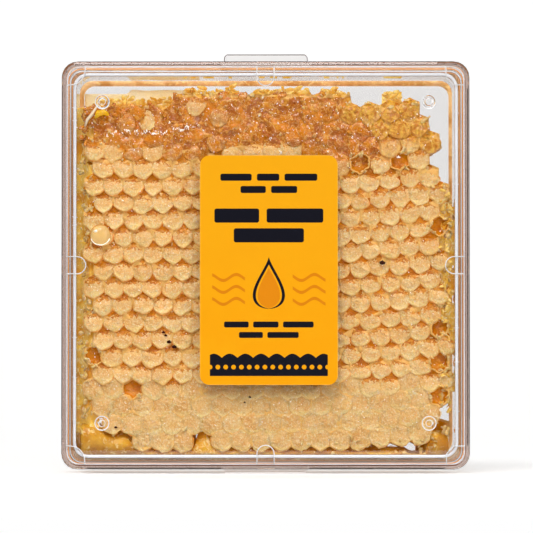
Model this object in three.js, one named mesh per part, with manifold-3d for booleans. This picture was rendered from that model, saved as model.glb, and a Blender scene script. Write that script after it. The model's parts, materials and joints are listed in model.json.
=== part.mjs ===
// A square of cut honeycomb in a shut clear box that stands on the tabs of its lower side.
// Millimetres, +Z up. The lid faces -Y. The origin is on the floor, under the middle of the box.

import * as THREE from 'three';
import { mergeVertices } from 'three/addons/utils/BufferGeometryUtils.js';
import Module from 'manifold-3d';

const wasm = await Module();
wasm.setup();

// ---------------------------------------------------------------- driving dimensions

// Box
const BOX_HALF = 54.75; // half of the 109.5 mm side
const BOX_DEPTH = 34.9; // lid face to back face
const LID_DEPTH = 16.5; // lid face to seam
const PANEL = 1.3; // thickness of the lid's face and of the back
const WALL = 1.25;
const CORNER_RADIUS = 4.3;
const CORNER_STEPS = 5;
const LID_EDGE_ROUND = 0.8;
const SEAM_GAP = 0.3;
const BACK_HALF = 53.9; // the base's sides draw in a little towards the back
const BACK_EDGE_ROUND = 1.2;

// Rim of the base, which reaches forward inside the lid
const RIM_OUTER_HALF = 51.8;
const RIM_INNER_HALF = 50.8;
const RIM_OUTER_CORNER = 4.2;
const RIM_INNER_CORNER = 3.4;
const RIM_FRONT_GAP = 2.8; // lid face to rim
const LEDGE_THICKNESS = 1.25;

// Inside of the base's back
const TRAY_CORNER = 4;
const TRAY_BACK_CORNER = 4.6;
const TRAY_FLOOR_CORNER = 3.2;
const TRAY_FILLET = 2.4;

// Lugs on the inside of the lid that bear on the rim
const LUG_HEIGHT = 1.2;
const LUG_WIDTH = 4.6;
const LUG_LENGTH = 5.2;
const LUG_SUNK = 0.4;
const CORNER_LUG_SIZE = 5;
const CORNER_LUG_ROUND = 4;
const CORNER_LUG_CHAMFER = 2.1;

// Ring pips on the lid's face
const PIP_HEIGHT = 0.8;
const PIP_RADIUS = 1.75;
const PIP_BORE_RADIUS = 0.95;
const PIP_ROUND = 0.25;
const PIP_SIDES = 16;
const PIP_X = 43.8;
const PIP_Z = 43.1;
const PIP_RISE = 0.7; // the four pips sit a little above the lid's middle

// Tabs of lid and base, at the top and the foot
const TAB_WIDTH = 22.4;
const TAB_FLARE = 0.8;
const TAB_SUNK = 0.9;
const TAB_ROUND = 0.6;
const LID_TAB_HEIGHT = 3;
const LID_TAB_DEPTH = 2.5;
const BASE_TAB_HEIGHT = 1.2;
const BASE_TAB_DEPTH = 2;
const FOOT_DROP = 1.3;
const FOOT_ROUND = 0.3;
const LID_FOOT_DEPTH = 4;
const BASE_FOOT_DEPTH = 7;

// Label
const LABEL_WIDTH = 37;
const LABEL_HEIGHT = 61.6;
const LABEL_CORNER = 2.7;
const LABEL_THICKNESS = 0.2;
const LABEL_GAP = 0.03;
const LABEL_X = 0.9;
const LABEL_DROP = 1.35; // its middle is this far below the lid's middle

// Comb
const CELL_PITCH = 5.32;
const FIRST_CELL_X = -43.7; // one cell's middle, which places the lattice
const FIRST_CELL_Z = 55;
const ROW_RISE = 0.0012; // on the right the rows bend upwards: rise = ROW_RISE * x * x
const CORNER_JITTER = 0.22;
const CAP_GAP = 3.5; // lid face to the caps
const GROOVE = 1.3; // depth of the grooves between caps
const MERGED_GROOVE = 0.5; // where the caps run together, near the foot
const MERGED_HEIGHT = 24;
const CAP_TILT = 0.55; // a cap's lower edge stands this much proud on the left
const CAP_TILT_RIGHT = 0.2;
const CAP_JITTER = 0.18;
const CAP_LOWER_REACH = 0.93; // of the cell, towards its lower corners
const CAP_UPPER_REACH = 0.72;
const CAP_UPPER_FROM = 0.3; // a corner higher than this share of the radius is an upper one
const OPEN_WALL_REACH = 0.9;
const OPEN_PIT_REACH = 0.72;
const OPEN_PIT_DEPTH = 6;
const MIDRIB_BULGE = 0.7;
const BACK_GAP = 1.85; // back face to the caps on the comb's back
const BACK_GROOVE = 1;
const COMB_REACH = 49.9; // no cell corner is further out than this
const COMB_FOOT = 5.65; // or lower than this
const COMB_TOP = 102.2; // or higher than this
const PIT_DEPTH = 0.8; // of a cell's bottom at the midrib, where its front half is torn off
const PIT_REACH = 0.75;
const CORNERS_INSIDE = 4; // a cell is there when this many of its corners lie in the outline
const COMB_SEED = 7;

// Places of the cells that have lost their caps, x and z
const OPEN_CELLS = [
  [46.7, 66.8],
  [46.7, 39.3],
  [46.8, 30.1],
  [46.7, 20.8],
  [36.1, 84.3],
  [25.4, 83.5],
  [-35.8, 22.7],
  [-46.4, 31.9],
];

// Crushed, wet stretch near the top: an ellipse on the comb's face
const CRUSH = { x: -9, z: 94, halfWidth: 26, halfHeight: 9, depth: 0.9, jitter: 0.5 };

// Cut and torn outline of the comb, x and z
const COMB_OUTLINE = [
  [-47.7, 99.3],
  [-42.4, 101],
  [-27, 101.2],
  [-22, 103.2],
  [24, 103.2],
  [38.6, 103.4],
  [45, 96.9],
  [46.4, 89.7],
  [49.1, 77.6],
  [49.6, 17.6],
  [42.9, 11.4],
  [40.5, 6],
  [-12.8, 5.8],
  [-14.1, 10.6],
  [-17.6, 11.1],
  [-18.4, 5.8],
  [-33.7, 6],
  [-35.6, 9],
  [-44.5, 11.7],
  [-47.2, 14.1],
  [-48, 19.7],
  [-46.7, 49.3],
  [-48.3, 78.9],
];

// Places beyond that outline where only the half of the comb behind its midrib is left
const DEEP_PLACES = [
  { left: -49.2, right: -46, bottom: 18, top: 98 },
  { left: 46.5, right: 49.6, bottom: 20, top: 74 },
  { left: 43, right: 48, bottom: 6, top: 16 },
];

// Drained honey: a low pool in the tray and a mound in the lower left corner
const HONEY_GAP = 0.3;
const POOL_TOP = 5.3;
const POOL_BOTTOM = 3.75;
const POOL_LEFT = -47.5;
const POOL_RIGHT = 38;
const POOL_FRONT_Y = 1.3;
const POOL_BACK_Y = 13.8;
const MOUND_FRONT_Y = -11.5;
const MOUND_BACK_Y = 15.3;
const MOUND_TOP = 12.6;
const MOUND_SHOULDER = 7.6;
const MOUND_RIGHT = -37;
const MOUND_STEP_X = -45;
const MOUND_SLOPE = 3; // how far the surface runs sideways where it drops
const MOUND_DROP = 1;
const POOL_END = 0.6; // height of the pool's blunt right end

// Fineness of the solids
const WELD_DISTANCE = 0.0001;
const CURVE_STEPS = 4;
const CORNER_KEY_STEPS = 50; // to the millimetre, by which shared cell corners are told apart

// ---------------------------------------------------------------- planes that follow from them

const FRONT_Y = -(BOX_DEPTH + PIP_HEIGHT) / 2 + PIP_HEIGHT;
const BACK_Y = FRONT_Y + BOX_DEPTH;
const SEAM_Y = FRONT_Y + LID_DEPTH;
const LID_END_Y = SEAM_Y - SEAM_GAP / 2;
const LEDGE_Y = SEAM_Y + SEAM_GAP / 2;
const LID_INNER_Y = FRONT_Y + PANEL;
const RIM_FRONT_Y = FRONT_Y + RIM_FRONT_GAP;
const MIDDLE_Z = FOOT_DROP + BOX_HALF;
const CAP_Y = FRONT_Y + CAP_GAP;
const COMB_BACK_Y = BACK_Y - BACK_GAP;
const MIDRIB_Y = (CAP_Y + COMB_BACK_Y) / 2;
const ROW_PITCH = (CELL_PITCH * Math.sqrt(3)) / 2;
const CELL_RADIUS = CELL_PITCH / Math.sqrt(3);

// ---------------------------------------------------------------- helpers

// A repeatable random source, from 0 to 1
function seededRandom(seed) {
  let state = seed;
  return () => {
    state = (state + 0x6d2b79f5) | 0;
    let mixed = Math.imul(state ^ (state >>> 15), 1 | state);
    mixed = (mixed + Math.imul(mixed ^ (mixed >>> 7), 61 | mixed)) ^ mixed;
    return ((mixed ^ (mixed >>> 14)) >>> 0) / 4294967296;
  };
}

function geometryOf(positions, indices) {
  const geometry = new THREE.BufferGeometry();
  geometry.setAttribute('position', new THREE.Float32BufferAttribute(positions, 3));
  geometry.setIndex(indices);
  return geometry;
}

function toSolid(geometry) {
  geometry.deleteAttribute('normal');
  geometry.deleteAttribute('uv');
  const merged = mergeVertices(geometry, WELD_DISTANCE);
  const mesh = new wasm.Mesh({
    numProp: 3,
    vertProperties: new Float32Array(merged.attributes.position.array),
    triVerts: new Uint32Array(merged.index.array),
  });
  return new wasm.Manifold(mesh);
}

function toGeometry(solid) {
  const mesh = solid.getMesh();
  return geometryOf(mesh.vertProperties, Array.from(mesh.triVerts));
}

function joined(geometries) {
  const solids = geometries.map(toSolid);
  return toGeometry(solids.reduce((sum, next) => sum.add(next)));
}

// A shape drawn in x and z, as a slab from yBack forwards
function slab(shape, yBack, depth) {
  const options = { depth, bevelEnabled: false, curveSegments: CURVE_STEPS };
  const geometry = new THREE.ExtrudeGeometry(shape, options);
  geometry.rotateX(Math.PI / 2);
  geometry.translate(0, yBack, 0);
  return geometry;
}

// ---------------------------------------------------------------- box

// One level of a square shell: its half width, corner radius and depth
function ring(half, radius, y) {
  return { half, radius, y };
}

function ringPoints({ half, radius, y }) {
  const centre = half - radius;
  const signs = [[1, 1], [-1, 1], [-1, -1], [1, -1]];
  return signs.flatMap(([sx, sz], quarter) =>
    Array.from({ length: CORNER_STEPS + 1 }, (_, step) => {
      const angle = ((quarter + step / CORNER_STEPS) * Math.PI) / 2;
      return [sx * centre + radius * Math.cos(angle), y, sz * centre + radius * Math.sin(angle)];
    }),
  );
}

// The rounded edge from a flat face at faceY to the side, where inwards is +1 or -1 along y
function roundedEdge(half, radius, faceY, size, inwards) {
  return [0, Math.PI / 4, Math.PI / 2].map((angle) => {
    const inset = size * (1 - Math.sin(angle));
    return ring(half - inset, radius - inset, faceY + inwards * size * (1 - Math.cos(angle)));
  });
}

// A closed shell through a list of rings. The first is closed towards -Y and the last towards +Y.
function shellOf(rings) {
  const positions = [0, rings[0].y, 0];
  const indices = [];
  rings.forEach((level) => positions.push(...ringPoints(level).flat()));
  positions.push(0, rings[rings.length - 1].y, 0);
  const count = 4 * (CORNER_STEPS + 1);
  const last = positions.length / 3 - 1;
  const at = (level, point) => 1 + level * count + (point % count);
  for (let point = 0; point < count; point += 1) {
    indices.push(0, at(0, point), at(0, point + 1));
    indices.push(last, at(rings.length - 1, point + 1), at(rings.length - 1, point));
    for (let level = 0; level + 1 < rings.length; level += 1) {
      indices.push(at(level, point), at(level + 1, point), at(level + 1, point + 1));
      indices.push(at(level, point), at(level + 1, point + 1), at(level, point + 1));
    }
  }
  return geometryOf(positions, indices);
}

// A tab that stands up from the box's edge at z = 0, with flared feet
function tabShape(height, round) {
  const half = TAB_WIDTH / 2;
  const foot = half + TAB_FLARE;
  const shape = new THREE.Shape();
  shape.moveTo(-foot, -TAB_SUNK);
  shape.lineTo(foot, -TAB_SUNK);
  shape.lineTo(foot, 0);
  shape.absarc(foot, TAB_FLARE, TAB_FLARE, -Math.PI / 2, -Math.PI, true);
  shape.absarc(half - round, height - round, round, 0, Math.PI / 2, false);
  shape.absarc(round - half, height - round, round, Math.PI / 2, Math.PI, false);
  shape.absarc(-foot, TAB_FLARE, TAB_FLARE, 0, -Math.PI / 2, true);
  shape.closePath();
  return shape;
}

function topTab(height, yBack, depth) {
  return slab(tabShape(height, TAB_ROUND), yBack, depth).translate(0, 0, BOX_HALF);
}

function footTab(yBack, depth) {
  const shape = tabShape(FOOT_DROP, FOOT_ROUND);
  return slab(shape, yBack, depth).rotateY(Math.PI).translate(0, 0, -BOX_HALF);
}

// The round-ended lug at the middle of the lower side; turned about Y for the other sides
function sideLug(quarter) {
  const skirt = BOX_HALF - WALL;
  const half = LUG_WIDTH / 2;
  const shape = new THREE.Shape();
  shape.moveTo(-half, -skirt - LUG_SUNK);
  shape.lineTo(half, -skirt - LUG_SUNK);
  shape.absarc(0, -skirt + LUG_LENGTH - half, half, 0, Math.PI, false);
  shape.closePath();
  return lidLug(shape, quarter);
}

// A lug in the lower left corner; turned about Y for the other corners
function cornerLug(quarter, chamfered) {
  const skirt = WALL - BOX_HALF;
  const wall = skirt - LUG_SUNK;
  const reach = skirt + CORNER_LUG_SIZE;
  const centre = reach - CORNER_LUG_ROUND;
  const shape = new THREE.Shape();
  shape.moveTo(wall, wall + CORNER_RADIUS / 2);
  shape.lineTo(wall + CORNER_RADIUS / 2, wall);
  shape.lineTo(reach, wall);
  if (chamfered) {
    shape.lineTo(reach, reach - CORNER_LUG_CHAMFER);
    shape.lineTo(reach - CORNER_LUG_CHAMFER, reach);
  } else {
    shape.absarc(centre, centre, CORNER_LUG_ROUND, 0, Math.PI / 2, false);
  }
  shape.lineTo(wall, reach);
  shape.closePath();
  return lidLug(shape, quarter);
}

function lidLug(shape, quarter) {
  const lug = slab(shape, LID_INNER_Y + LUG_HEIGHT, LUG_HEIGHT + LUG_SUNK);
  return lug.rotateY((-quarter * Math.PI) / 2);
}

function pip(sideX, sideZ) {
  const profile = [
    [PIP_BORE_RADIUS, -LUG_SUNK],
    [PIP_RADIUS, -LUG_SUNK],
    [PIP_RADIUS, PIP_HEIGHT - PIP_ROUND],
    [PIP_RADIUS - PIP_ROUND, PIP_HEIGHT],
    [PIP_BORE_RADIUS + PIP_ROUND, PIP_HEIGHT],
    [PIP_BORE_RADIUS, PIP_HEIGHT - PIP_ROUND],
    [PIP_BORE_RADIUS, -LUG_SUNK],
  ].map(([radius, height]) => new THREE.Vector2(radius, height));
  const tube = new THREE.LatheGeometry(profile, PIP_SIDES);
  tube.rotateX(Math.PI);
  tube.translate(sideX * PIP_X, FRONT_Y, sideZ * PIP_Z + PIP_RISE);
  return tube;
}

function boxLid() {
  const inner = BOX_HALF - WALL;
  const innerCorner = CORNER_RADIUS - WALL;
  const shell = shellOf([
    ...roundedEdge(BOX_HALF, CORNER_RADIUS, FRONT_Y, LID_EDGE_ROUND, 1),
    ring(BOX_HALF, CORNER_RADIUS, LID_END_Y),
    ring(inner, innerCorner, LID_END_Y),
    ring(inner, innerCorner, LID_INNER_Y),
  ]);
  return joined([
    shell,
    topTab(LID_TAB_HEIGHT, LID_END_Y, LID_TAB_DEPTH),
    footTab(LID_END_Y, LID_FOOT_DEPTH),
    ...[0, 1, 2, 3].map(sideLug),
    ...[0, 1, 2, 3].map((quarter) => cornerLug(quarter, quarter > 1)),
    pip(-1, 1),
    pip(1, 1),
    pip(-1, -1),
    pip(1, -1),
  ]);
}

function boxBase() {
  const backCorner = CORNER_RADIUS - (BOX_HALF - BACK_HALF);
  const trayFloor = BACK_Y - PANEL;
  const trayBackHalf = BACK_HALF - WALL;
  const shell = shellOf([
    ring(trayBackHalf - TRAY_FILLET, TRAY_FLOOR_CORNER, trayFloor),
    ...roundedEdge(trayBackHalf, TRAY_BACK_CORNER, trayFloor, TRAY_FILLET, -1).slice(1),
    ring(BOX_HALF - WALL, TRAY_CORNER, LEDGE_Y + LEDGE_THICKNESS),
    ring(RIM_INNER_HALF, RIM_INNER_CORNER, LEDGE_Y + LEDGE_THICKNESS),
    ring(RIM_INNER_HALF, RIM_INNER_CORNER, RIM_FRONT_Y),
    ring(RIM_OUTER_HALF, RIM_OUTER_CORNER, RIM_FRONT_Y),
    ring(RIM_OUTER_HALF, RIM_OUTER_CORNER, LEDGE_Y),
    ring(BOX_HALF, CORNER_RADIUS, LEDGE_Y),
    ...roundedEdge(BACK_HALF, backCorner, BACK_Y, BACK_EDGE_ROUND, -1).reverse(),
  ]);
  return joined([
    shell,
    topTab(BASE_TAB_HEIGHT, LEDGE_Y + BASE_TAB_DEPTH, BASE_TAB_DEPTH),
    footTab(LEDGE_Y + BASE_FOOT_DEPTH, BASE_FOOT_DEPTH),
  ]);
}

// ---------------------------------------------------------------- label

function label() {
  const x = LABEL_WIDTH / 2 - LABEL_CORNER;
  const z = LABEL_HEIGHT / 2 - LABEL_CORNER;
  const shape = new THREE.Shape();
  shape.absarc(x, z, LABEL_CORNER, 0, Math.PI / 2, false);
  shape.absarc(-x, z, LABEL_CORNER, Math.PI / 2, Math.PI, false);
  shape.absarc(-x, -z, LABEL_CORNER, Math.PI, 1.5 * Math.PI, false);
  shape.absarc(x, -z, LABEL_CORNER, 1.5 * Math.PI, 2 * Math.PI, false);
  shape.closePath();
  return slab(shape, FRONT_Y - LABEL_GAP, LABEL_THICKNESS).translate(LABEL_X, 0, -LABEL_DROP);
}

// ---------------------------------------------------------------- comb

function insideOutline(x, z) {
  let inside = false;
  COMB_OUTLINE.forEach(([x1, z1], index) => {
    const [x2, z2] = COMB_OUTLINE[(index + 1) % COMB_OUTLINE.length];
    const crosses = z1 > z !== z2 > z;
    if (crosses && x < x1 + ((x2 - x1) * (z - z1)) / (z2 - z1)) inside = !inside;
  });
  return inside;
}

// Whether the cell with its middle at x and z has lost its cap
function isOpen(x, z) {
  return OPEN_CELLS.some(([openX, openZ]) => Math.hypot(openX - x, openZ - z) < CELL_PITCH / 2);
}

function isDeepPlace(x, z) {
  return DEEP_PLACES.some(
    ({ left, right, bottom, top }) => x > left && x < right && z > bottom && z < top,
  );
}

// 1 in the middle of the crushed stretch, falling to 0 at its edge
function crushAt(x, z) {
  const across = (x - CRUSH.x) / CRUSH.halfWidth;
  const up = (z - CRUSH.z) / CRUSH.halfHeight;
  return Math.max(0, 1 - across * across - up * up);
}

// A point of the flat lattice, moved to where the bent rows have it
function bent(x, z) {
  return [x, z + ROW_RISE * Math.max(0, x) ** 2];
}

// The comb's cell corners. Neighbouring cells share them, each with its own small random shift.
function cornerStore(random) {
  const corners = new Map();
  return (flatX, flatZ) => {
    const key = [flatX, flatZ].map((value) => Math.round(value * CORNER_KEY_STEPS)).join();
    if (!corners.has(key)) {
      const [x, z] = bent(flatX, flatZ);
      const shiftX = (random() * 2 - 1) * CORNER_JITTER;
      const shiftZ = (random() * 2 - 1) * CORNER_JITTER;
      corners.set(key, {
        key,
        x: Math.max(-COMB_REACH, Math.min(COMB_REACH, x + shiftX)),
        z: Math.max(COMB_FOOT, Math.min(COMB_TOP + shiftX, z + shiftZ)),
        lift: random() * 2 - 1,
      });
    }
    return corners.get(key);
  };
}

function combCells(random) {
  const cornerAt = cornerStore(random);
  const rows = Math.ceil((2 * BOX_HALF) / ROW_PITCH);
  const cells = [];
  for (let row = -rows; row <= rows; row += 1) {
    for (let column = -1; column <= rows; column += 1) {
      const flatX = FIRST_CELL_X + CELL_PITCH * (column + (Math.abs(row) % 2) / 2);
      const flatZ = FIRST_CELL_Z + ROW_PITCH * row;
      const angles = [0, 1, 2, 3, 4, 5].map((side) => ((2 * side + 1) * Math.PI) / 6);
      const places = angles.map((angle) => [
        flatX + CELL_RADIUS * Math.cos(angle),
        flatZ + CELL_RADIUS * Math.sin(angle),
      ]);
      const count = places.filter(([x, z]) => insideOutline(...bent(x, z))).length;
      const whole = count >= CORNERS_INSIDE && insideOutline(...bent(flatX, flatZ));
      if (!whole && !isDeepPlace(...bent(flatX, flatZ))) continue;
      const corners = places.map(([x, z]) => cornerAt(x, z));
      const x = corners.reduce((sum, corner) => sum + corner.x, 0) / 6;
      const z = corners.reduce((sum, corner) => sum + corner.z, 0) / 6;
      const wholeKind = isOpen(x, z) ? 'open' : 'capped';
      cells.push({ x, z, corners, kind: whole ? wholeKind : 'deep' });
    }
  }
  return cells;
}

// How far out of the comb each corner on its edge looks, as a unit direction in x and z
function edgeDirections(cells, kindBeyond) {
  const directions = new Map();
  cells.forEach((cell) => {
    cell.corners.forEach((corner, index) => {
      const next = cell.corners[(index + 1) % 6];
      if (kindBeyond(corner, next)) return;
      [corner, next].forEach(({ key }) => {
        const sum = directions.get(key) ?? new THREE.Vector2();
        directions.set(key, sum.add(new THREE.Vector2(next.z - corner.z, corner.x - next.x)));
      });
    });
  });
  directions.forEach((direction) => direction.normalize());
  return directions;
}

// Depth of the groove between caps at a corner
function grooveY(corner) {
  const merged = corner.z < MERGED_HEIGHT;
  const crush = crushAt(corner.x, corner.z);
  const depth = (merged ? MERGED_GROOVE : GROOVE) + crush * CRUSH.depth;
  return CAP_Y + depth + corner.lift * CAP_JITTER;
}

// The six points round a cap's top. Its lower edge stands proud, like a scale's.
function capRing(cell, random) {
  const tilt = cell.x < 0 ? CAP_TILT : CAP_TILT_RIGHT;
  const crush = crushAt(cell.x, cell.z);
  const lift = (random() * 2 - 1) * CAP_JITTER;
  return cell.corners.map((corner) => {
    const up = (corner.z - cell.z) / CELL_RADIUS;
    const reach = up > CAP_UPPER_FROM ? CAP_UPPER_REACH : CAP_LOWER_REACH;
    const dent = crush * (CRUSH.depth + (random() * 2 - 1) * CRUSH.jitter);
    const y = CAP_Y + tilt * up + lift + dent;
    return [cell.x + (corner.x - cell.x) * reach, y, cell.z + (corner.z - cell.z) * reach];
  });
}

function levelRing(cell, reach, y) {
  return cell.corners.map((corner) => [
    cell.x + (corner.x - cell.x) * reach,
    y,
    cell.z + (corner.z - cell.z) * reach,
  ]);
}

function honeycomb() {
  const random = seededRandom(COMB_SEED);
  const cells = combCells(random);
  const positions = [];
  const indices = [];
  const addPoint = (x, y, z) => positions.push(x, y, z) / 3 - 1;
  const addRing = (points) => points.map((point) => addPoint(...point));
  const face = (...corners) => indices.push(...corners);
  const band = (outer, inner) => {
    for (let i = 0; i < 6; i += 1) {
      const j = (i + 1) % 6;
      face(outer[i], outer[j], inner[j]);
      face(outer[i], inner[j], inner[i]);
    }
  };
  const fan = (points) => {
    for (let i = 1; i < 5; i += 1) face(points[0], points[i], points[i + 1]);
  };

  // The kind of the cell beyond an edge, which is missing on the comb's outside
  const kinds = new Map();
  cells.forEach(({ corners, kind }) => {
    corners.forEach(({ key }, index) => kinds.set(`${key} ${corners[(index + 1) % 6].key}`, kind));
  });
  const kindBeyond = (from, to) => kinds.get(`${to.key} ${from.key}`);
  const outwards = edgeDirections(cells, kindBeyond);

  const levels = new Map();
  const levelsOf = (corner) => {
    if (!levels.has(corner.key)) {
      const front = addPoint(corner.x, grooveY(corner), corner.z);
      const backY = COMB_BACK_Y - BACK_GROOVE + corner.lift * CAP_JITTER;
      const back = addPoint(corner.x, backY, corner.z);
      levels.set(corner.key, { front, back });
    }
    return levels.get(corner.key);
  };
  const midribOf = (corner) => {
    const level = levelsOf(corner);
    if (level.midrib === undefined) {
      const direction = outwards.get(corner.key) ?? new THREE.Vector2();
      const x = corner.x + direction.x * MIDRIB_BULGE;
      const z = corner.z + direction.y * MIDRIB_BULGE;
      const reach = COMB_REACH + MIDRIB_BULGE / 2;
      const held = Math.max(-reach, Math.min(reach, x));
      level.midrib = addPoint(held, MIDRIB_Y, Math.max(COMB_FOOT, z));
    }
    return level.midrib;
  };

  cells.forEach((cell) => {
    const deep = cell.kind === 'deep';
    const rim = cell.corners.map((corner) => (deep ? midribOf(corner) : levelsOf(corner).front));
    if (deep) {
      const pit = addRing(levelRing(cell, PIT_REACH, MIDRIB_Y + PIT_DEPTH));
      band(rim, pit);
      fan(pit);
    } else if (cell.kind === 'open') {
      const wall = addRing(levelRing(cell, OPEN_WALL_REACH, CAP_Y));
      const mouth = addRing(levelRing(cell, OPEN_PIT_REACH, CAP_Y));
      const pit = addRing(levelRing(cell, OPEN_PIT_REACH, CAP_Y + OPEN_PIT_DEPTH));
      band(rim, wall);
      band(wall, mouth);
      band(mouth, pit);
      fan(pit);
    } else {
      const top = addRing(capRing(cell, random));
      band(rim, top);
      fan(top);
    }
    const crown = addPoint(cell.x, COMB_BACK_Y, cell.z);
    cell.corners.forEach((corner, index) => {
      const next = cell.corners[(index + 1) % 6];
      const from = levelsOf(corner);
      const to = levelsOf(next);
      face(to.back, from.back, crown);
      const beyond = kindBeyond(corner, next);
      if (!deep && (!beyond || beyond === 'deep')) {
        face(from.front, midribOf(corner), midribOf(next));
        face(from.front, midribOf(next), to.front);
      }
      if (!beyond) {
        face(midribOf(corner), from.back, to.back);
        face(midribOf(corner), to.back, midribOf(next));
      }
    });
  });
  return geometryOf(positions, indices);
}

// ---------------------------------------------------------------- honey

function polygon(points) {
  return new THREE.Shape(points.map(([x, z]) => new THREE.Vector2(x, z)));
}

function honey() {
  const cornerX = RIM_INNER_CORNER - RIM_INNER_HALF;
  const cornerZ = MIDDLE_Z + cornerX;
  const cornerRadius = RIM_INNER_CORNER - HONEY_GAP;
  const mound = new THREE.Shape();
  mound.absarc(cornerX, cornerZ, cornerRadius, Math.PI, 1.5 * Math.PI, false);
  mound.lineTo(MOUND_RIGHT, cornerZ - cornerRadius);
  mound.lineTo(MOUND_RIGHT - MOUND_DROP, MOUND_SHOULDER - MOUND_DROP);
  mound.lineTo(MOUND_RIGHT - MOUND_SLOPE, MOUND_SHOULDER);
  mound.lineTo(MOUND_STEP_X, MOUND_SHOULDER + MOUND_DROP);
  mound.lineTo(MOUND_STEP_X - MOUND_SLOPE, MOUND_TOP - MOUND_DROP);
  mound.lineTo(cornerX - cornerRadius, MOUND_TOP);
  mound.closePath();
  const pool = polygon([
    [POOL_LEFT, POOL_BOTTOM],
    [POOL_RIGHT - POOL_END, POOL_BOTTOM],
    [POOL_RIGHT, POOL_BOTTOM + POOL_END],
    [POOL_RIGHT - MOUND_SLOPE, POOL_TOP],
    [MOUND_RIGHT - MOUND_DROP, POOL_TOP],
    [MOUND_RIGHT - MOUND_SLOPE, MOUND_SHOULDER - MOUND_DROP],
    [POOL_LEFT, MOUND_SHOULDER - MOUND_DROP],
  ]);
  return joined([
    slab(mound, MOUND_BACK_Y, MOUND_BACK_Y - MOUND_FRONT_Y),
    slab(pool, POOL_BACK_Y, POOL_BACK_Y - POOL_FRONT_Y),
  ]);
}

// ---------------------------------------------------------------- scene graph

const clearPlastic = { roughness: 0.08, metalness: 0, transparent: true, opacity: 0.3 };

const FINISHES = {
  box_base: { color: 0xf2f5f5, ...clearPlastic },
  box_lid: { color: 0xf6f8f8, ...clearPlastic },
  label: { color: 0xffb214, roughness: 0.35, metalness: 0 },
  honeycomb: { color: 0xe6bd78, roughness: 0.6, metalness: 0 },
  honey: { color: 0xb8700f, roughness: 0.12, metalness: 0 },
};

function part(name, geometry, height) {
  geometry.computeVertexNormals();
  const mesh = new THREE.Mesh(geometry, new THREE.MeshStandardMaterial(FINISHES[name]));
  mesh.name = name;
  mesh.position.z = height;
  return mesh;
}

const group = new THREE.Group();
group.add(part('box_base', boxBase(), MIDDLE_Z));
group.add(part('box_lid', boxLid(), MIDDLE_Z));
group.add(part('label', label(), MIDDLE_Z));
group.add(part('honeycomb', honeycomb(), 0));
group.add(part('honey', honey(), 0));

export default group;
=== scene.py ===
import json
import math
import random
from collections import namedtuple
from functools import reduce

import bmesh
import bpy
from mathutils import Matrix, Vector, kdtree, noise

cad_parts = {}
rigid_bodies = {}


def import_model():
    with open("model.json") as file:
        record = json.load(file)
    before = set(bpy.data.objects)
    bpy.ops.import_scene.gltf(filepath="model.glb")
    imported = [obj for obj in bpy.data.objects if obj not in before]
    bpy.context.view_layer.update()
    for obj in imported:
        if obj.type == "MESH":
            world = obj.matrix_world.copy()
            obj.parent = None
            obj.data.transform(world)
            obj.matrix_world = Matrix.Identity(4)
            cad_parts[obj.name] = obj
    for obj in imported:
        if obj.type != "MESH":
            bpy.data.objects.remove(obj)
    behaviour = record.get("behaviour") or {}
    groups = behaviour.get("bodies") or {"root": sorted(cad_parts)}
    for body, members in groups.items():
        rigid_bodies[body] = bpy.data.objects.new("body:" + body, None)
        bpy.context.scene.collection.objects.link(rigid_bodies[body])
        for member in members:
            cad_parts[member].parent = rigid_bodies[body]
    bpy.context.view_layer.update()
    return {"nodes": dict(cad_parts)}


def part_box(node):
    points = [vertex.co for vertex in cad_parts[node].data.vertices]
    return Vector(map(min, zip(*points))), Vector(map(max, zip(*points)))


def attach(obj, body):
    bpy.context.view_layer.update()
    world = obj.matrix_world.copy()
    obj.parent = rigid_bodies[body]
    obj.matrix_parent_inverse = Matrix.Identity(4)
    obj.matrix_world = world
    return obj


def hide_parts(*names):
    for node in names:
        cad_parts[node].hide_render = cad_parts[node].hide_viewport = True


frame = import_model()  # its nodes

# ---------------------------------------------------------------- sizes, in millimetres

MM = 0.001

# Box
BOX_HALF = 54.75
PANEL = 1.3
WALL = 1.25
LID_DEPTH = 16.5
RIM_FRONT_GAP = 2.8
FOOT_DROP = 1.3
PIP_X = 43.8
PIP_Z = 43.1
PIP_RISE = 0.7
PIP_HEIGHT = 0.8
LUG_HEIGHT = 1.2
LUG_WIDTH = 4.6
LUG_LENGTH = 5.2
CORNER_LUG_SIZE = 5
CORNER_LUG_ROUND = 4
CORNER_LUG_CHAMFER = 2.1
CAP_GAP = 3.5  # from the lid's face to the caps
BACK_GAP = 1.85  # from the back's face to the caps there
TAB_WIDTH = 22.4
TAB_FLARE = 0.8
TAB_HEIGHT = 3
LID_TAB_FRONT_Y = -3.2

# Comb lattice, the same as the solid's
CELL_PITCH = 5.32
FIRST_CELL_X = -43.7
FIRST_CELL_Z = 55
ROW_RISE = 0.0012
CORNER_JITTER = 0.22
CORNER_KEY_STEPS = 50  # in a millimetre, so that cells that meet share their corners
COMB_REACH = 49.9
COMB_FOOT = 5.65
COMB_TOP = 102.2
COMB_SEED = 7
CORNERS_INSIDE = 4
MIDRIB_BULGE = 0.7
ROW_PITCH = CELL_PITCH * math.sqrt(3) / 2
CELL_RADIUS = CELL_PITCH / math.sqrt(3)

COMB_OUTLINE = [
    (-47.7, 99.3), (-42.4, 101), (-27, 101.2), (-22, 103.2), (24, 103.2), (38.6, 103.4),
    (45, 96.9), (46.4, 89.7), (49.1, 77.6), (49.6, 17.6), (42.9, 11.4), (40.5, 6),
    (-12.8, 5.8), (-14.1, 10.6), (-17.6, 11.1), (-18.4, 5.8), (-33.7, 6), (-35.6, 9),
    (-44.5, 11.7), (-47.2, 14.1), (-48, 19.7), (-46.7, 49.3), (-48.3, 78.9),
]

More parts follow.
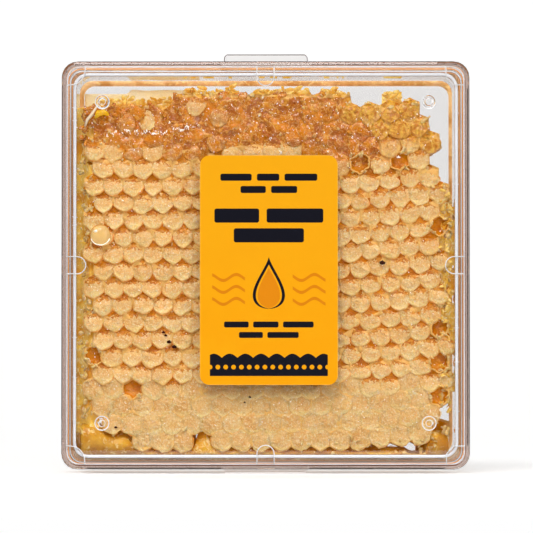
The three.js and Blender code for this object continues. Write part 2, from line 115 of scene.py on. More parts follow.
# Middles of the cells whose caps are gone, x and z
OPEN_PLACES = [
    (46.7, 66.8), (46.7, 39.3), (46.8, 30.1), (46.7, 20.8),
    (36.1, 84.3), (25.4, 83.5), (-35.8, 22.7), (-46.4, 31.9),
]
OPEN_REACH = CELL_PITCH / 2

# Left, right, bottom and top of the places where only the comb's back half is left
DEEP_PLACES = [(-49.2, -46, 18, 98), (46.5, 49.6, 20, 74), (43, 48, 6, 16)]


def millimetres(corner):
    return corner / MM


FRONT_Y = millimetres(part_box("box_lid")[0]).y + PIP_HEIGHT
BACK_Y = millimetres(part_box("box_base")[1]).y
CAP_Y = FRONT_Y + CAP_GAP
COMB_BACK_Y = BACK_Y - BACK_GAP
MIDRIB_Y = (CAP_Y + COMB_BACK_Y) / 2
MIDDLE_Z = FOOT_DROP + BOX_HALF

# ---------------------------------------------------------------- node trees


class Value:
    """A number in a node tree. Arithmetic on it adds Math nodes."""

    def __init__(self, tree, socket):
        self.tree = tree
        self.socket = socket

    def math(self, operation, *operands):
        return self.tree.value("ShaderNodeMath", {"operation": operation}, dict(enumerate(operands)))

    def __add__(self, other):
        return self.math("ADD", self, other)

    def __radd__(self, other):
        return self.math("ADD", other, self)

    def __sub__(self, other):
        return self.math("SUBTRACT", self, other)

    def __rsub__(self, other):
        return self.math("SUBTRACT", other, self)

    def __mul__(self, other):
        return self.math("MULTIPLY", self, other)

    def __rmul__(self, other):
        return self.math("MULTIPLY", other, self)

    def __rtruediv__(self, other):
        return self.math("DIVIDE", other, self)

    def __abs__(self):
        return self.math("ABSOLUTE", self)

    def __pow__(self, other):
        return self.math("POWER", self, other)

    def least(self, other):
        return self.math("MINIMUM", self, other)

    def most(self, other):
        return self.math("MAXIMUM", self, other)

    def sine(self):
        return self.math("SINE", self)

    def ping_pong(self, length):
        """Back and forth from 0 to length."""
        return self.math("PINGPONG", self, length)

    def smooth(self, low, high):
        """0 below low, 1 above high, and a smooth step between them. The other way round if low is more."""
        settings = {"interpolation_type": "SMOOTHSTEP"}
        inputs = {"Value": self, "From Min": low, "From Max": high}
        return self.tree.value("ShaderNodeMapRange", settings, inputs)


class Tree:
    """A node tree in which every node comes from one method."""

    def __init__(self, tree):
        self.tree = tree

    def node(self, kind, settings=None, inputs=None):
        made = self.tree.nodes.new(kind)
        for name, setting in (settings or {}).items():
            setattr(made, name, setting)
        for name, given in (inputs or {}).items():
            given = given.socket if isinstance(given, Value) else given
            if isinstance(given, bpy.types.NodeSocket):
                self.tree.links.new(given, made.inputs[name])
            else:
                made.inputs[name].default_value = given
        return made

    def value(self, kind, settings=None, inputs=None, output=0):
        return Value(self, self.node(kind, settings, inputs).outputs[output])

    def mix(self, factor, first, second):
        """Colour: the first where factor is 0 and the second where it is 1."""
        inputs = {0: factor, 6: first, 7: second}
        return self.node("ShaderNodeMix", {"data_type": "RGBA"}, inputs).outputs[2]

    def layered(self, base, *layers):
        """Colours laid over a base, each where its mask is 1."""
        for mask, tint in layers:
            base = self.mix(mask, base, tint)
        return base

    def vector(self, operation, inputs):
        """Vector Math with its inputs by number or name."""
        return self.node("ShaderNodeVectorMath", {"operation": operation}, inputs).outputs[0]

    def noise(self, place, size, detail=2.0, roughness=0.5, distortion=0.0):
        """Noise from 0 to 1 with lumps of about size millimetres."""
        inputs = {
            "Vector": place,
            "Scale": 1 / (size * MM),
            "Detail": detail,
            "Roughness": roughness,
            "Distortion": distortion,
        }
        return self.value("ShaderNodeTexNoise", None, inputs)


class Finish(Tree):
    """A material: its tree, where a point of it is, and its shader."""

    def __init__(self, name, **constants):
        self.material = bpy.data.materials.new(name)
        self.material.use_nodes = True
        super().__init__(self.material.node_tree)
        self.tree.nodes.clear()
        self.place = self.node("ShaderNodeTexCoord").outputs["Object"]
        self.shader = self.node("ShaderNodeBsdfPrincipled", None, constants)
        inputs = {"Surface": self.shader.outputs[0]}
        self.output = self.node("ShaderNodeOutputMaterial", None, inputs)

    def set(self, **links):
        """Links values or colours to the shader's sockets; Base_Color stands for Base Color."""
        for name, given in links.items():
            given = given.socket if isinstance(given, Value) else given
            self.tree.links.new(given, self.shader.inputs[name.replace("_", " ")])

    def mark(self, name):
        """A point attribute of the piece."""
        return self.value("ShaderNodeAttribute", {"attribute_name": name}, None, "Fac")

    def coordinates(self):
        """x, y and z in millimetres."""
        split = self.node("ShaderNodeSeparateXYZ", None, {0: self.place})
        return [Value(self, socket) * (1 / MM) for socket in split.outputs]

    def bump(self, *layers):
        """Each layer is a height from 0 to 1 and how many millimetres that is."""
        normal = None
        for height, depth in layers:
            inputs = {"Height": height, "Distance": depth * MM}
            if normal is not None:
                inputs["Normal"] = normal
            normal = self.node("ShaderNodeBump", None, inputs).outputs[0]
        self.set(Normal=normal)


def colour(red, green, blue):
    """A colour given from 0 to 255 as it looks on a screen."""

    def linear(share):
        return share / 12.92 if share <= 0.04045 else ((share + 0.055) / 1.055) ** 2.4

    return (*(linear(channel / 255) for channel in (red, green, blue)), 1.0)


# ---------------------------------------------------------------- lattice

Corner = namedtuple("Corner", "x z lift key")
Cell = namedtuple("Cell", "x z corners kind")
WHOLE_NUMBER = 0xFFFFFFFF


def seeded_random(seed):
    """The same repeatable random source, from 0 to 1, that shapes the solid comb."""
    state = seed

    def draw():
        nonlocal state
        state = (state + 0x6D2B79F5) & WHOLE_NUMBER
        mixed = ((state ^ (state >> 15)) * (1 | state)) & WHOLE_NUMBER
        mixed ^= (mixed + ((mixed ^ (mixed >> 7)) * (61 | mixed))) & WHOLE_NUMBER
        return ((mixed ^ (mixed >> 14)) & WHOLE_NUMBER) / (WHOLE_NUMBER + 1)

    return draw


def inside_outline(x, z):
    """Whether a place is inside the comb's torn outline."""
    inside = False
    for (x1, z1), (x2, z2) in zip(COMB_OUTLINE, COMB_OUTLINE[1:] + COMB_OUTLINE[:1]):
        if (z1 > z) != (z2 > z) and x < x1 + (x2 - x1) * (z - z1) / (z2 - z1):
            inside = not inside
    return inside


def is_deep_place(x, z):
    return any(left < x < right and low < z < high for left, right, low, high in DEEP_PLACES)


def bent(x, z):
    """A point of the flat lattice, moved to where the comb's bent rows have it."""
    return x, z + ROW_RISE * max(0, x) ** 2


def comb_cells():
    """Every cell of the comb, row by row: capped, open, or deep where only its back half is left."""
    draw = seeded_random(COMB_SEED)
    corners = {}

    def corner_at(flat_x, flat_z):
        key = tuple(math.floor(flat * CORNER_KEY_STEPS + 0.5) for flat in (flat_x, flat_z))
        if key not in corners:
            x, z = bent(flat_x, flat_z)
            shift_x = (draw() * 2 - 1) * CORNER_JITTER
            shift_z = (draw() * 2 - 1) * CORNER_JITTER
            held_x = max(-COMB_REACH, min(COMB_REACH, x + shift_x))
            held_z = max(COMB_FOOT, min(COMB_TOP + shift_x, z + shift_z))
            corners[key] = Corner(held_x, held_z, draw() * 2 - 1, key)
        return corners[key]

    rows = math.ceil(2 * BOX_HALF / ROW_PITCH)
    cells = []
    for row in range(-rows, rows + 1):
        for column in range(-1, rows + 1):
            flat_x = FIRST_CELL_X + CELL_PITCH * (column + abs(row) % 2 / 2)
            flat_z = FIRST_CELL_Z + ROW_PITCH * row
            angles = [(2 * side + 1) * math.pi / 6 for side in range(6)]
            places = [
                (flat_x + CELL_RADIUS * math.cos(angle), flat_z + CELL_RADIUS * math.sin(angle))
                for angle in angles
            ]
            middle = bent(flat_x, flat_z)
            count = sum(inside_outline(*bent(*place)) for place in places)
            whole = count >= CORNERS_INSIDE and inside_outline(*middle)
            if not whole and not is_deep_place(*middle):
                continue
            around = [corner_at(*place) for place in places]
            x = sum(corner.x for corner in around) / 6
            z = sum(corner.z for corner in around) / 6
            is_open = any(math.dist(place, (x, z)) < OPEN_REACH for place in OPEN_PLACES)
            kind = "open" if is_open else "capped"
            cells.append(Cell(x, z, around, kind if whole else "deep"))
    return cells


# ---------------------------------------------------------------- mesh helpers


def lump(x, z, size, layer=0.0):
    """Smooth noise from -1 to 1 over the comb's face, with lumps of about size millimetres."""
    return noise.noise(Vector((x / size, layer, z / size)))


def step(value, low, high):
    """0 below low, 1 above high, and a smooth step between them."""
    share = max(0.0, min(1.0, (value - low) / (high - low)))
    return share * share * (3 - 2 * share)


def blend(first, second, share):
    """From the first, where share is 0, to the second, where it is 1."""
    return first + (second - first) * share


class Builder:
    """Collects points in millimetres, faces and point attributes, and makes a mesh of them."""

    def __init__(self):
        self.points = []
        self.faces = []
        self.marks = {}
        self.known = {}

    def point(self, x, y, z, **marks):
        """The number of a point, the same for one that is already there."""
        key = (round(x, 3), round(y, 3), round(z, 3))
        if key not in self.known:
            self.known[key] = len(self.points)
            self.points.append((x, y, z))
            for name, value in marks.items():
                self.marks.setdefault(name, {})[self.known[key]] = value
        return self.known[key]

    def face(self, *corners):
        """A face of the corners that differ, if three or more do."""
        kept = [corner for i, corner in enumerate(corners) if corner != corners[i - 1]]
        if len(kept) > 2:
            self.faces.append(kept)

    def band(self, first, second, closed=True):
        """Faces between two rows of points of the same count."""
        for i in range(len(first) - (0 if closed else 1)):
            j = (i + 1) % len(first)
            self.face(first[i], first[j], second[j], second[i])

    def fan(self, around, middle):
        """Faces from a ring of points to its middle."""
        for i, point in enumerate(around):
            self.face(point, around[(i + 1) % len(around)], middle)

    def take(self, other):
        """Adds another builder's points and faces, without their attributes."""
        offset = len(self.points)
        self.points += other.points
        self.faces += [[corner + offset for corner in face] for face in other.faces]

    def mesh(self, name):
        """Its mesh in metres, smooth and with its faces out."""
        mesh = bpy.data.meshes.new(name)
        mesh.from_pydata([Vector(point) * MM for point in self.points], [], self.faces)
        for mark, values in self.marks.items():
            layer = mesh.attributes.new(mark, "FLOAT", "POINT")
            for index, value in values.items():
                layer.data[index].value = value
        mesh.polygons.foreach_set("use_smooth", [True] * len(mesh.polygons))
        turned = bmesh.new()
        turned.from_mesh(mesh)
        bmesh.ops.recalc_face_normals(turned, faces=turned.faces)
        turned.to_mesh(mesh)
        turned.free()
        return mesh


def ring_of(middle, radius, turns=(0, 1), steps=16):
    """Points of an arc in the plane of the lid. turns are its start and end in whole turns."""
    x, y, z = middle
    angles = [2 * math.pi * blend(*turns, i / steps) for i in range(steps + 1)]
    return [(x + radius * math.cos(angle), y, z + radius * math.sin(angle)) for angle in angles]


def tube(made, path, radii, sides=6):
    """Adds a closed tube along a path of points; radii has one radius, or one for each point."""
    path = [Vector(place) for place in path]
    radii = radii if isinstance(radii, list) else [radii] * len(path)
    angles = [2 * math.pi * i / sides for i in range(sides)]
    rows = []
    for index, place in enumerate(path):
        ahead = path[min(index + 1, len(path) - 1)] - path[max(index - 1, 0)]
        side = ahead.cross(Vector((0, 1, 0))).normalized()
        other = side.cross(ahead).normalized()
        row = []
        for angle in angles:
            offset = (side * math.cos(angle) + other * math.sin(angle)) * radii[index]
            row.append(made.point(*(place + offset)))
        rows.append(row)
    for row, following in zip(rows, rows[1:]):
        made.band(row, following)
    for row, place in ((rows[0], path[0]), (rows[-1], path[-1])):
        made.fan(row, made.point(*place))


def piece(name, mesh, material, replaces=()):
    """Puts a finished mesh in the scene, on the object's only body."""
    made = bpy.data.objects.new(name, mesh)
    bpy.context.scene.collection.objects.link(made)
    mesh.materials.clear()
    mesh.materials.append(material)
    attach(made, "root")
    if replaces:
        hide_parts(*replaces)


# ---------------------------------------------------------------- finishes

WAX_GLOW = (1.0, 0.62, 0.25)  # how far red, green and blue light spread inside wax and honey
PAINTED_AMBER_GLOW = (0.075, 0.032, 0.0, 1)  # painted glow: light given off by the gaps, standing in for light that reaches them through the honey behind
BLACK = (0, 0, 0, 1)
PAINTED_RIM_GLOW = (0.19, 0.11, 0.036, 1)  # painted glow: light given off by the thin lower rims of the caps, standing in for light that comes through them
PLASTIC_TINT = (0.8, 0.7, 0.65, 1)  # what a long way through the plastic does to white light
PLASTIC_DENSITY = 85
PAINTED_HONEY_GLOW = 0.12  # painted glow: how strongly honey gives off light of its own colour, standing in for the light from behind that comes through it


def clear_plastic(name, tint):
    """Clear plastic that tints light the further it goes, and casts a clear shadow."""
    finish = Finish(name, **{"Transmission Weight": 1.0, "Roughness": 0.0, "IOR": 1.5})
    finish.shader.inputs["Base Color"].default_value = tint
    shadow = finish.node("ShaderNodeLightPath").outputs["Is Shadow Ray"]
    through = finish.node("ShaderNodeBsdfTransparent", None, {"Color": tint})
    inputs = {0: shadow, 1: finish.shader.outputs[0], 2: through.outputs[0]}
    mixed = finish.node("ShaderNodeMixShader", None, inputs)
    finish.tree.links.new(mixed.outputs[0], finish.output.inputs["Surface"])
    inputs = {"Color": PLASTIC_TINT, "Density": PLASTIC_DENSITY}
    depth = finish.node("ShaderNodeVolumeAbsorption", None, inputs)
    finish.tree.links.new(depth.outputs[0], finish.output.inputs["Volume"])
    return finish.material


def lit(name, tint, glow, light=None, **constants):
    """A plain finish that gives off a little light, of its own tint if no other is given."""
    plain = {
        "Base Color": tint,
        "Roughness": 0.25,
        "Emission Color": light or tint,
        "Emission Strength": glow,
    }
    return Finish(name, **plain | constants).material


def soaked_wax(finish, cloud, lumps, grain):
    """Rust and orange honey over crushed wax, with pale lumps, and pale threads along torn cell edges that
    are partly pale wax and partly painted highlights where the edges catch the light.
    """
    return finish.layered(
        finish.mix(cloud.smooth(0.34, 0.66), colour(160, 72, 0), colour(210, 120, 0)),
        (lumps.smooth(0.55, 0.63) * 0.6, colour(226, 160, 48)),
        (grain.smooth(0.5, 0.64) * 0.45, colour(240, 190, 100)),
        # Pale threads along torn cell edges: partly pale wax, partly painted highlight.
        (abs(cloud - 0.5).smooth(0.012, 0.003) * 0.6, colour(246, 208, 132)),
    )


def capped_wax():
    """Pale grainy wax: beige middles, lower rims painted lighter and yellower as painted light, amber
    specks under a notch.

    Darker and glossy where wet, yellow and glossy where gold.
    """
    finish = Finish("capped_wax", **{
        "Specular IOR Level": 0.3,
        "Coat Roughness": 0.08,
        "Emission Strength": 1.0,
        "Subsurface Weight": 0.45,
        "Subsurface Scale": 0.0014,
        "Subsurface Radius": WAX_GLOW,
    })
    place = finish.place
    marks = ("edge", "notch", "low", "tone", "wet", "gold")
    edge, notch, low, tone, wet, gold = (finish.mark(name) for name in marks)
    cloud = finish.noise(place, 2.6, 3)
    specks = finish.noise(place, 1.0, 3, 0.65)
    grain = finish.noise(place, 0.42, 2, 0.6)
    lace = finish.noise(place, 0.6, 2, 0.6) + specks * 0.6 - 0.8

    # The lower rims' colour: painted lighter and yellower, painted light for the light that comes through
    # the thin wax there.
    rim = finish.mix(tone, colour(244, 214, 150), colour(238, 202, 126))
    amber = finish.mix(specks.smooth(0.4, 0.6), colour(180, 98, 4), colour(214, 144, 48))
    golden = finish.mix(specks.smooth(0.35, 0.65), colour(196, 118, 4), colour(234, 182, 70))
    pitted = (lace + notch * 0.44 - 0.28).smooth(0, 0.04) * (1 - low)
    soaked = (wet * 1.4 + specks * 0.7 + cloud * 0.5 - 0.85).smooth(0, 0.5)
    tint = finish.layered(
        finish.mix(tone, colour(236, 188, 116), colour(228, 174, 100)),
        (cloud.smooth(0.4, 0.65) * 0.6, colour(238, 202, 142)),
        # Lower rims painted lighter: painted light, not the wax's own colour.
        ((low * 0.95 + edge * 0.3 + specks * 0.8 - 0.85).smooth(0, 0.7), rim),
        # Pale flecks of the grain, partly painted sparkle highlights.
        (grain.smooth(0.52, 0.66) * 0.6, colour(250, 236, 196)),
        (grain.smooth(0.42, 0.32) * 0.25, colour(206, 134, 54)),
        # Seams and skirts where caps meet are painted orange and amber: a painted warm shade for the
        # crevices between the caps.
        ((edge - 0.91).smooth(0, 0.09) * (0.85 - low * 0.25), colour(246, 176, 80)),
        ((edge - 1.0).smooth(0, 0.1), colour(240, 150, 34)),
        (pitted, amber),
        (soaked, soaked_wax(finish, cloud, specks, grain)),
        ((gold * 1.2 + cloud * 0.8 - 0.75).smooth(0, 0.5), golden),
    )
    sparkle = grain.smooth(0.62, 0.68)
    # A painted glow at the caps' edges and lower rims, and a painted amber glow in the pits and wet honey.
    glow = finish.mix((edge * edge * 0.8 + low * 0.4 - 0.45).smooth(0, 0.8), BLACK, PAINTED_RIM_GLOW)
    finish.set(
        Base_Color=tint,
        Emission_Color=finish.mix((pitted * 0.35).most(soaked * 0.7), glow, PAINTED_AMBER_GLOW),
        Roughness=0.55 - soaked * 0.35 - gold * 0.2,
        Coat_Weight=(soaked * 0.55 + gold * 0.5).most(sparkle * 0.8),
    )
    smooth = 1 - soaked * 0.8
    finish.bump((cloud, 0.3), (specks * smooth, 0.5), (grain * smooth, 0.2))
    return finish.material


def amber_comb():
    """Honey-soaked comb under and between the caps: amber, with pale wax on walls and ridges."""
    finish = Finish("amber_comb", **{
        "IOR": 1.48,
        "Specular IOR Level": 0.35,
        "Coat Roughness": 0.05,
        "Emission Strength": 1.0,
        "Subsurface Weight": 0.15,
        "Subsurface Scale": 0.001,
        "Subsurface Radius": WAX_GLOW,
    })
    place = finish.place
    wax, wet, gold = (finish.mark(name) for name in ("wax", "wet", "gold"))
    cloud = finish.noise(place, 3.5, 3)
    lumps = finish.noise(place, 1.5, 3, 0.6)
    grain = finish.noise(place, 0.5, 3, 0.65)
    golden = finish.mix(lumps.smooth(0.35, 0.6), colour(186, 106, 2), colour(232, 176, 60))
    ridge = (wax * 1.6 + lumps * 0.8 + grain * 0.3 - 1.3).smooth(0, 0.3)
    tint = finish.layered(
        finish.mix(cloud.smooth(0.35, 0.65), colour(184, 98, 0), colour(218, 136, 4)),
        (lumps.smooth(0.56, 0.66) * 0.5, colour(232, 168, 76)),
        (wet.smooth(0.2, 0.6), soaked_wax(finish, cloud, lumps, grain)),
        (gold, golden),
        (ridge, finish.mix(grain, colour(238, 168, 78), colour(250, 208, 124))),
    )
    # The amber away from the wax ridges gives off a painted glow, for light that comes through the honey.
    finish.set(
        Base_Color=tint,
        Emission_Color=finish.mix(ridge, PAINTED_AMBER_GLOW, BLACK),
        Roughness=0.16 + ridge * 0.35,
        Coat_Weight=(1 - ridge) * 0.25 + wet * 0.5,
    )
    finish.bump((cloud, 0.4), (lumps, 0.6), (grain, 0.16))
    return finish.material


def clear_honey(name, deep, light, flecks=0.5, glow=PAINTED_HONEY_GLOW):
    """Amber honey with paler cloud and flecks of wax in it, and a painted glow of its own colour."""
    finish = Finish(name, **{
        "IOR": 1.49,
        "Emission Strength": glow,
        "Subsurface Weight": 0.35,
        "Subsurface Scale": 0.003,
        "Subsurface Radius": WAX_GLOW,
    })
    place = finish.place
    cloud = finish.noise(place, 5, 3)
    streaks = finish.noise(place, 1.8, 3, 0.6, 1.5)
    grain = finish.noise(place, 0.7, 2)
    body = finish.mix(cloud.smooth(0.35, 0.65), deep, light)
    body = finish.mix(streaks.smooth(0.54, 0.64) * flecks, body, colour(250, 226, 156))
    finish.set(Base_Color=body, Emission_Color=body, Roughness=0.06 + streaks.smooth(0.56, 0.68) * 0.2)
    finish.bump((cloud, 0.5), (streaks, 0.3), (grain, 0.05))
    return finish.material


# Label, in millimetres from its middle
INK_SOFTNESS = 0.06  # of a printed edge
LINE_HALF = 0.42  # of the drop's outline and the waves
PALE_EDGE = 0.25  # where the paper is cut
BAR_ROUND = 0.6
DROP_MIDDLE = -3.2
DROP_HALF = 7.2
DROP_REACH = 3.388
DROP_OUTLINE = 0.5
DROP_MARGIN = 1.4
WAVE_PITCH = 3.2
WAVE_BEND = 0.9
WAVE_RISE = 0.8
WAVE_MIDDLE = DROP_MIDDLE - 2
WAVES_BEGIN = (6.2, 6.6)
WAVES_END = (15.4, 15.0)
BAND_TOP = -23.5
BAND_FOOT = -28.4
BAND_HALF_WIDTH = 15.8
SCALLOP = 4.2
SCALLOP_RISE = 1.1
DOTS_MIDDLE = -26
DOT_RADIUS = 0.62

# Rows of plain bars: middle height, half height, and each bar's left and right
BAR_ROWS = [
    (24.9, 0.95, [(-13, -4.6), (-3.2, 2.8), (4.2, 13)]),
    (21.6, 0.95, [(-7.6, -0.8), (0.6, 7.6)]),
    (14.6, 1.9, [(-14.6, -2.6), (-0.6, 14.6)]),
    (9.3, 1.9, [(-9.4, 9.4)]),
    (-14.6, 0.8, [(-12, -5.4), (-4.2, 2.6), (3.8, 12)]),
    (-17.4, 0.8, [(-8, -1.6), (-0.4, 8)]),
]


def inked(distance):
    """1 inside a printed shape, where the distance from its edge is under 0, and 0 outside."""
    return distance.smooth(INK_SOFTNESS, -INK_SOFTNESS)


def bar_row(u, v, middle, half, bars):
    """Rounded bars side by side."""
    rounding = min(BAR_ROUND, half * 0.55)
    across = [abs(u - (left + right) / 2) - ((right - left) / 2 - rounding) for left, right in bars]
    beside = reduce(Value.least, across)
    above = abs(v - middle) - (half - rounding)
    corner = (beside.most(0) ** 2 + above.most(0) ** 2) ** 0.5
    return inked(corner - rounding)


def printed_drop(u, v):
    """A drop's dark outline, and the honey inside it."""
    up = (v - DROP_MIDDLE) * (1 / DROP_HALF)
    roundness = (1 - up * up).most(0) ** 0.5
    outside = abs(u) - roundness * (1 - up) * DROP_REACH
    return inked(abs(outside + DROP_OUTLINE) - LINE_HALF), inked(outside + DROP_MARGIN)


def printed_waves(u, v):
    """Three waves at each side of the drop."""
    wave = v - WAVE_MIDDLE + (u * WAVE_BEND).sine() * WAVE_RISE
    lines = [inked(abs(wave - height) - LINE_HALF) for height in (-WAVE_PITCH, 0, WAVE_PITCH)]
    beside = abs(u).smooth(*WAVES_BEGIN) * abs(u).smooth(*WAVES_END)
    return reduce(Value.most, lines) * beside


def foot_band(u, v):
    """A dark band with a scalloped top and a row of pale dots."""
    top = v - BAND_TOP - abs((u * (math.pi / SCALLOP)).sine()) * SCALLOP_RISE
    band = inked(top) * inked(BAND_FOOT - v) * inked(abs(u) - BAND_HALF_WIDTH)
    across = u.ping_pong(SCALLOP / 2) - SCALLOP / 4
    dots = inked((across ** 2 + (v - DOTS_MIDDLE) ** 2) ** 0.5 - DOT_RADIUS)
    return band * (1 - dots)


def label_print():
    """Yellow-orange paper with plain dark bars, a drop and waves: no lettering."""
    finish = Finish("label_print", **{"Specular IOR Level": 0.12})
    low, high = map(millimetres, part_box("label"))
    x, _, z = finish.coordinates()
    u = x - (low.x + high.x) / 2
    v = z - (low.z + high.z) / 2
    half_u, half_v = (high.x - low.x) / 2, (high.z - low.z) / 2
    outline, honey_drop = printed_drop(u, v)
    rows = [bar_row(u, v, *row) for row in BAR_ROWS]
    dark = reduce(Value.most, [*rows, outline, foot_band(u, v)])

    cloud = finish.noise(finish.place, 9, 2)
    fibre = finish.noise(finish.place, 0.35, 2)
    edge = (abs(u) - half_u).most(abs(v) - half_v) + PALE_EDGE
    tint = finish.layered(
        # The paper is painted a little lighter towards the top: a painted sheen where the light falls.
        finish.mix(v.smooth(-half_v, half_v), colour(250, 166, 0), colour(252, 174, 14)),
        (cloud.smooth(0.4, 0.7) * 0.3, colour(252, 176, 10)),
        (printed_waves(u, v), colour(226, 132, 8)),
        (honey_drop, colour(232, 140, 10)),
        (edge.smooth(0, PALE_EDGE) * 0.35, colour(255, 214, 120)),
        (dark, colour(20, 20, 30)),
    )
    finish.set(Base_Color=tint, Roughness=0.42 - dark * 0.08)
    finish.bump((fibre, 0.02))
    return finish.material


# ---------------------------------------------------------------- studio

LID_TO_CAMERA = 1000
CAMERA_X = 6.6
CAMERA_Z = 28
AIM_X = 0.27
AIM_Z = 55.65
PICTURE_WIDTH = 142.8  # of the lid's plane, edge to edge of the picture
SENSOR = 36
ROOM_LIGHT = 0.2

# Floor and card, in metres
FLOOR_WIDTH = 1.6
FLOOR_FRONT = -0.31
FLOOR_BACK = 1.5
FLOOR_BEND = 0.6
FLOOR_BEND_STEPS = 16
BACKDROP_HEIGHT = 1.0
CARD_HALF = 0.22
CARD_Y = -1.12
CARD_MIDDLE_Z = 0.085


def camera():
    """In front of the lid, a little to the right and low."""
    data = bpy.data.cameras.new("camera")
    data.sensor_width = SENSOR
    data.lens = SENSOR * LID_TO_CAMERA / PICTURE_WIDTH
    data.clip_start = 0.05
    data.clip_end = 20
    made = bpy.data.objects.new("camera", data)
    made.location = Vector((CAMERA_X, FRONT_Y - LID_TO_CAMERA, CAMERA_Z)) * MM
    aim = Vector((AIM_X, FRONT_Y, AIM_Z)) * MM
    made.rotation_mode = "QUATERNION"
    made.rotation_quaternion = (aim - made.location).to_track_quat("-Z", "Y")
    bpy.context.scene.collection.objects.link(made)
    bpy.context.scene.camera = made


def area_light(name, place, aim, size, power):
    """A soft light, placed in metres, that shines at its aim."""
    data = bpy.data.lights.new(name, "AREA")
    data.shape = "RECTANGLE"
    data.size, data.size_y = size
    data.energy = power
    made = bpy.data.objects.new(name, data)
    made.location = place
    made.rotation_mode = "QUATERNION"
    made.rotation_quaternion = (Vector(aim) - Vector(place)).to_track_quat("-Z", "Y")
    bpy.context.scene.collection.objects.link(made)


def sky():
    """A dim room, white only where the camera looks straight at it."""
    world = bpy.data.worlds.new("studio")
    world.use_nodes = True
    tree = Tree(world.node_tree)
    world.node_tree.nodes.clear()
    seen = tree.value("ShaderNodeLightPath", None, None, "Is Camera Ray")
    strength = seen * (1 - ROOM_LIGHT) + ROOM_LIGHT
    shown = tree.node("ShaderNodeBackground", None, {"Color": (1, 1, 1, 1), "Strength": strength})
    tree.node("ShaderNodeOutputWorld", None, {"Surface": shown.outputs[0]})
    bpy.context.scene.world = world


def stage_piece(name, points, faces, material):
    """A plain mesh of the studio, in metres."""
    mesh = bpy.data.meshes.new(name)
    mesh.from_pydata(points, [], faces)
    mesh.polygons.foreach_set("use_smooth", [True] * len(faces))
    mesh.materials.append(material)
    made = bpy.data.objects.new(name, mesh)
    bpy.context.scene.collection.objects.link(made)


def studio_floor():
    """A white floor that sweeps up into a backdrop, lit a little from below like a light table."""
    profile = [(FLOOR_FRONT, 0.0), (0.0, 0.0)]
    for i in range(FLOOR_BEND_STEPS + 1):
        angle = math.pi / 2 * i / FLOOR_BEND_STEPS
        y = FLOOR_BACK - FLOOR_BEND * (1 - math.sin(angle))
        profile.append((y, FLOOR_BEND * (1 - math.cos(angle))))
    profile.append((FLOOR_BACK, BACKDROP_HEIGHT))
    points = [(side * FLOOR_WIDTH / 2, y, z) for y, z in profile for side in (-1, 1)]
    faces = [(2 * i, 2 * i + 1, 2 * i + 3, 2 * i + 2) for i in range(len(profile) - 1)]
    white = lit("studio_floor", (0.94, 0.94, 0.94, 1), 0.38, (1, 0.985, 0.97, 1), Roughness=0.9)
    stage_piece("floor", points, faces, white)


def dark_card():
    """A dark card behind the camera, for the flat lid to mirror."""
    sides = [(-1, -1), (1, -1), (1, 1), (-1, 1)]
    corners = [(x * CARD_HALF, CARD_Y, CARD_MIDDLE_Z + z * CARD_HALF) for x, z in sides]
    black = Finish("card", **{"Base Color": (0.01, 0.01, 0.01, 1), "Roughness": 1.0}).material
    stage_piece("dark_card", corners, [(0, 1, 2, 3)], black)


camera()
sky()
studio_floor()
dark_card()
area_light("key", (-0.22, -0.9, 1.0), (0, 0, 0.06), (0.6, 0.6), 8.5)
area_light("fill", (0.75, -1.1, 0.35), (0, 0, 0.06), (0.5, 0.7), 3.8)
area_light("wall_wash", (0, 0.5, 1.4), (0, 1.3, 0.2), (1.2, 0.4), 5)
bpy.context.scene.view_settings.view_transform = "Standard"

nodes = frame["nodes"]


def dress(node, material):
    """Gives a node's own mesh a finish."""
    slots = nodes[node].data.materials
    for index in range(len(slots)):
        nodes[node].material_slots[index].material = material


dress("box_lid", clear_plastic("lid_plastic", (0.955, 0.958, 0.96, 1)))
dress("box_base", clear_plastic("base_plastic", (0.95, 0.953, 0.955, 1)))

# ---------------------------------------------------------------- comb

EDGE_STEPS = 4
PIT_DEPTH = 1.4
CUT_STEPS = 6
CUT_HOLLOW = 0.5  # honey between the cut walls lies this much further in
BACK_GROOVE = 1

# Where the comb's looks change: each from the first value to the second
TOP_EDGE_Z = (100.9, 101.7)
TOP_EDGE_LEFT = (-25, -22)
WET_Z = (85.5, 90.5)
WET_RIGHT = 20
WET_PATCH = (22, 89)
WET_PATCH_HALF = (9, 7.5)
GOLD_X = (19, 24)
GOLD_Z = (86, 91)
MERGED_TOP = 28
MERGED_FADE = 7

GROOVE_DEPTH = 0.4
MERGED_GROOVE_DEPTH = 0.42
WET_GROOVE_DEPTH = 0.75
GAP_DEPTH = 0.9
GAP_REACH = (1.75, 2)  # at the left and at the right
GAP_SIZES = (0.35, 0.6, 0.8, 0.95, 1.1, 1.3)


def top_edge_at(x, z):
    """1 along the yellow, translucent top edge, right of the film, 0 below."""
    height = z + 0.6 * lump(x, z, 2, 6.6)
    return step(height, *TOP_EDGE_Z) * step(x + lump(x, z, 3, 6.9), *TOP_EDGE_LEFT)


def wet_at(x, z):
    """1 in the crushed, honey-wet stretch under the top edge, 0 on dry caps."""
    ragged = lump(x, z, 7, 3.3) * 3.5
    stretch = step(z + ragged, *WET_Z) * step(WET_RIGHT - x + ragged, -3, 4)
    patch_x, patch_z = WET_PATCH
    half_x, half_z = WET_PATCH_HALF
    away = ((x - patch_x) / half_x) ** 2 + ((z - patch_z) / half_z) ** 2
    patch = step(1 - away + ragged * 0.1, 0, 0.35)
    return max(stretch, patch) * (1 - top_edge_at(x, z))


def gold_at(x, z):
    """1 in the yellow, glossy stretch at the upper right, 0 elsewhere."""
    ragged = lump(x, z, 5, 4.4) * 3
    stretch = step(x + ragged, *GOLD_X) * step(z + ragged, *GOLD_Z)
    return max(stretch * (1 - wet_at(x, z)), top_edge_at(x, z))


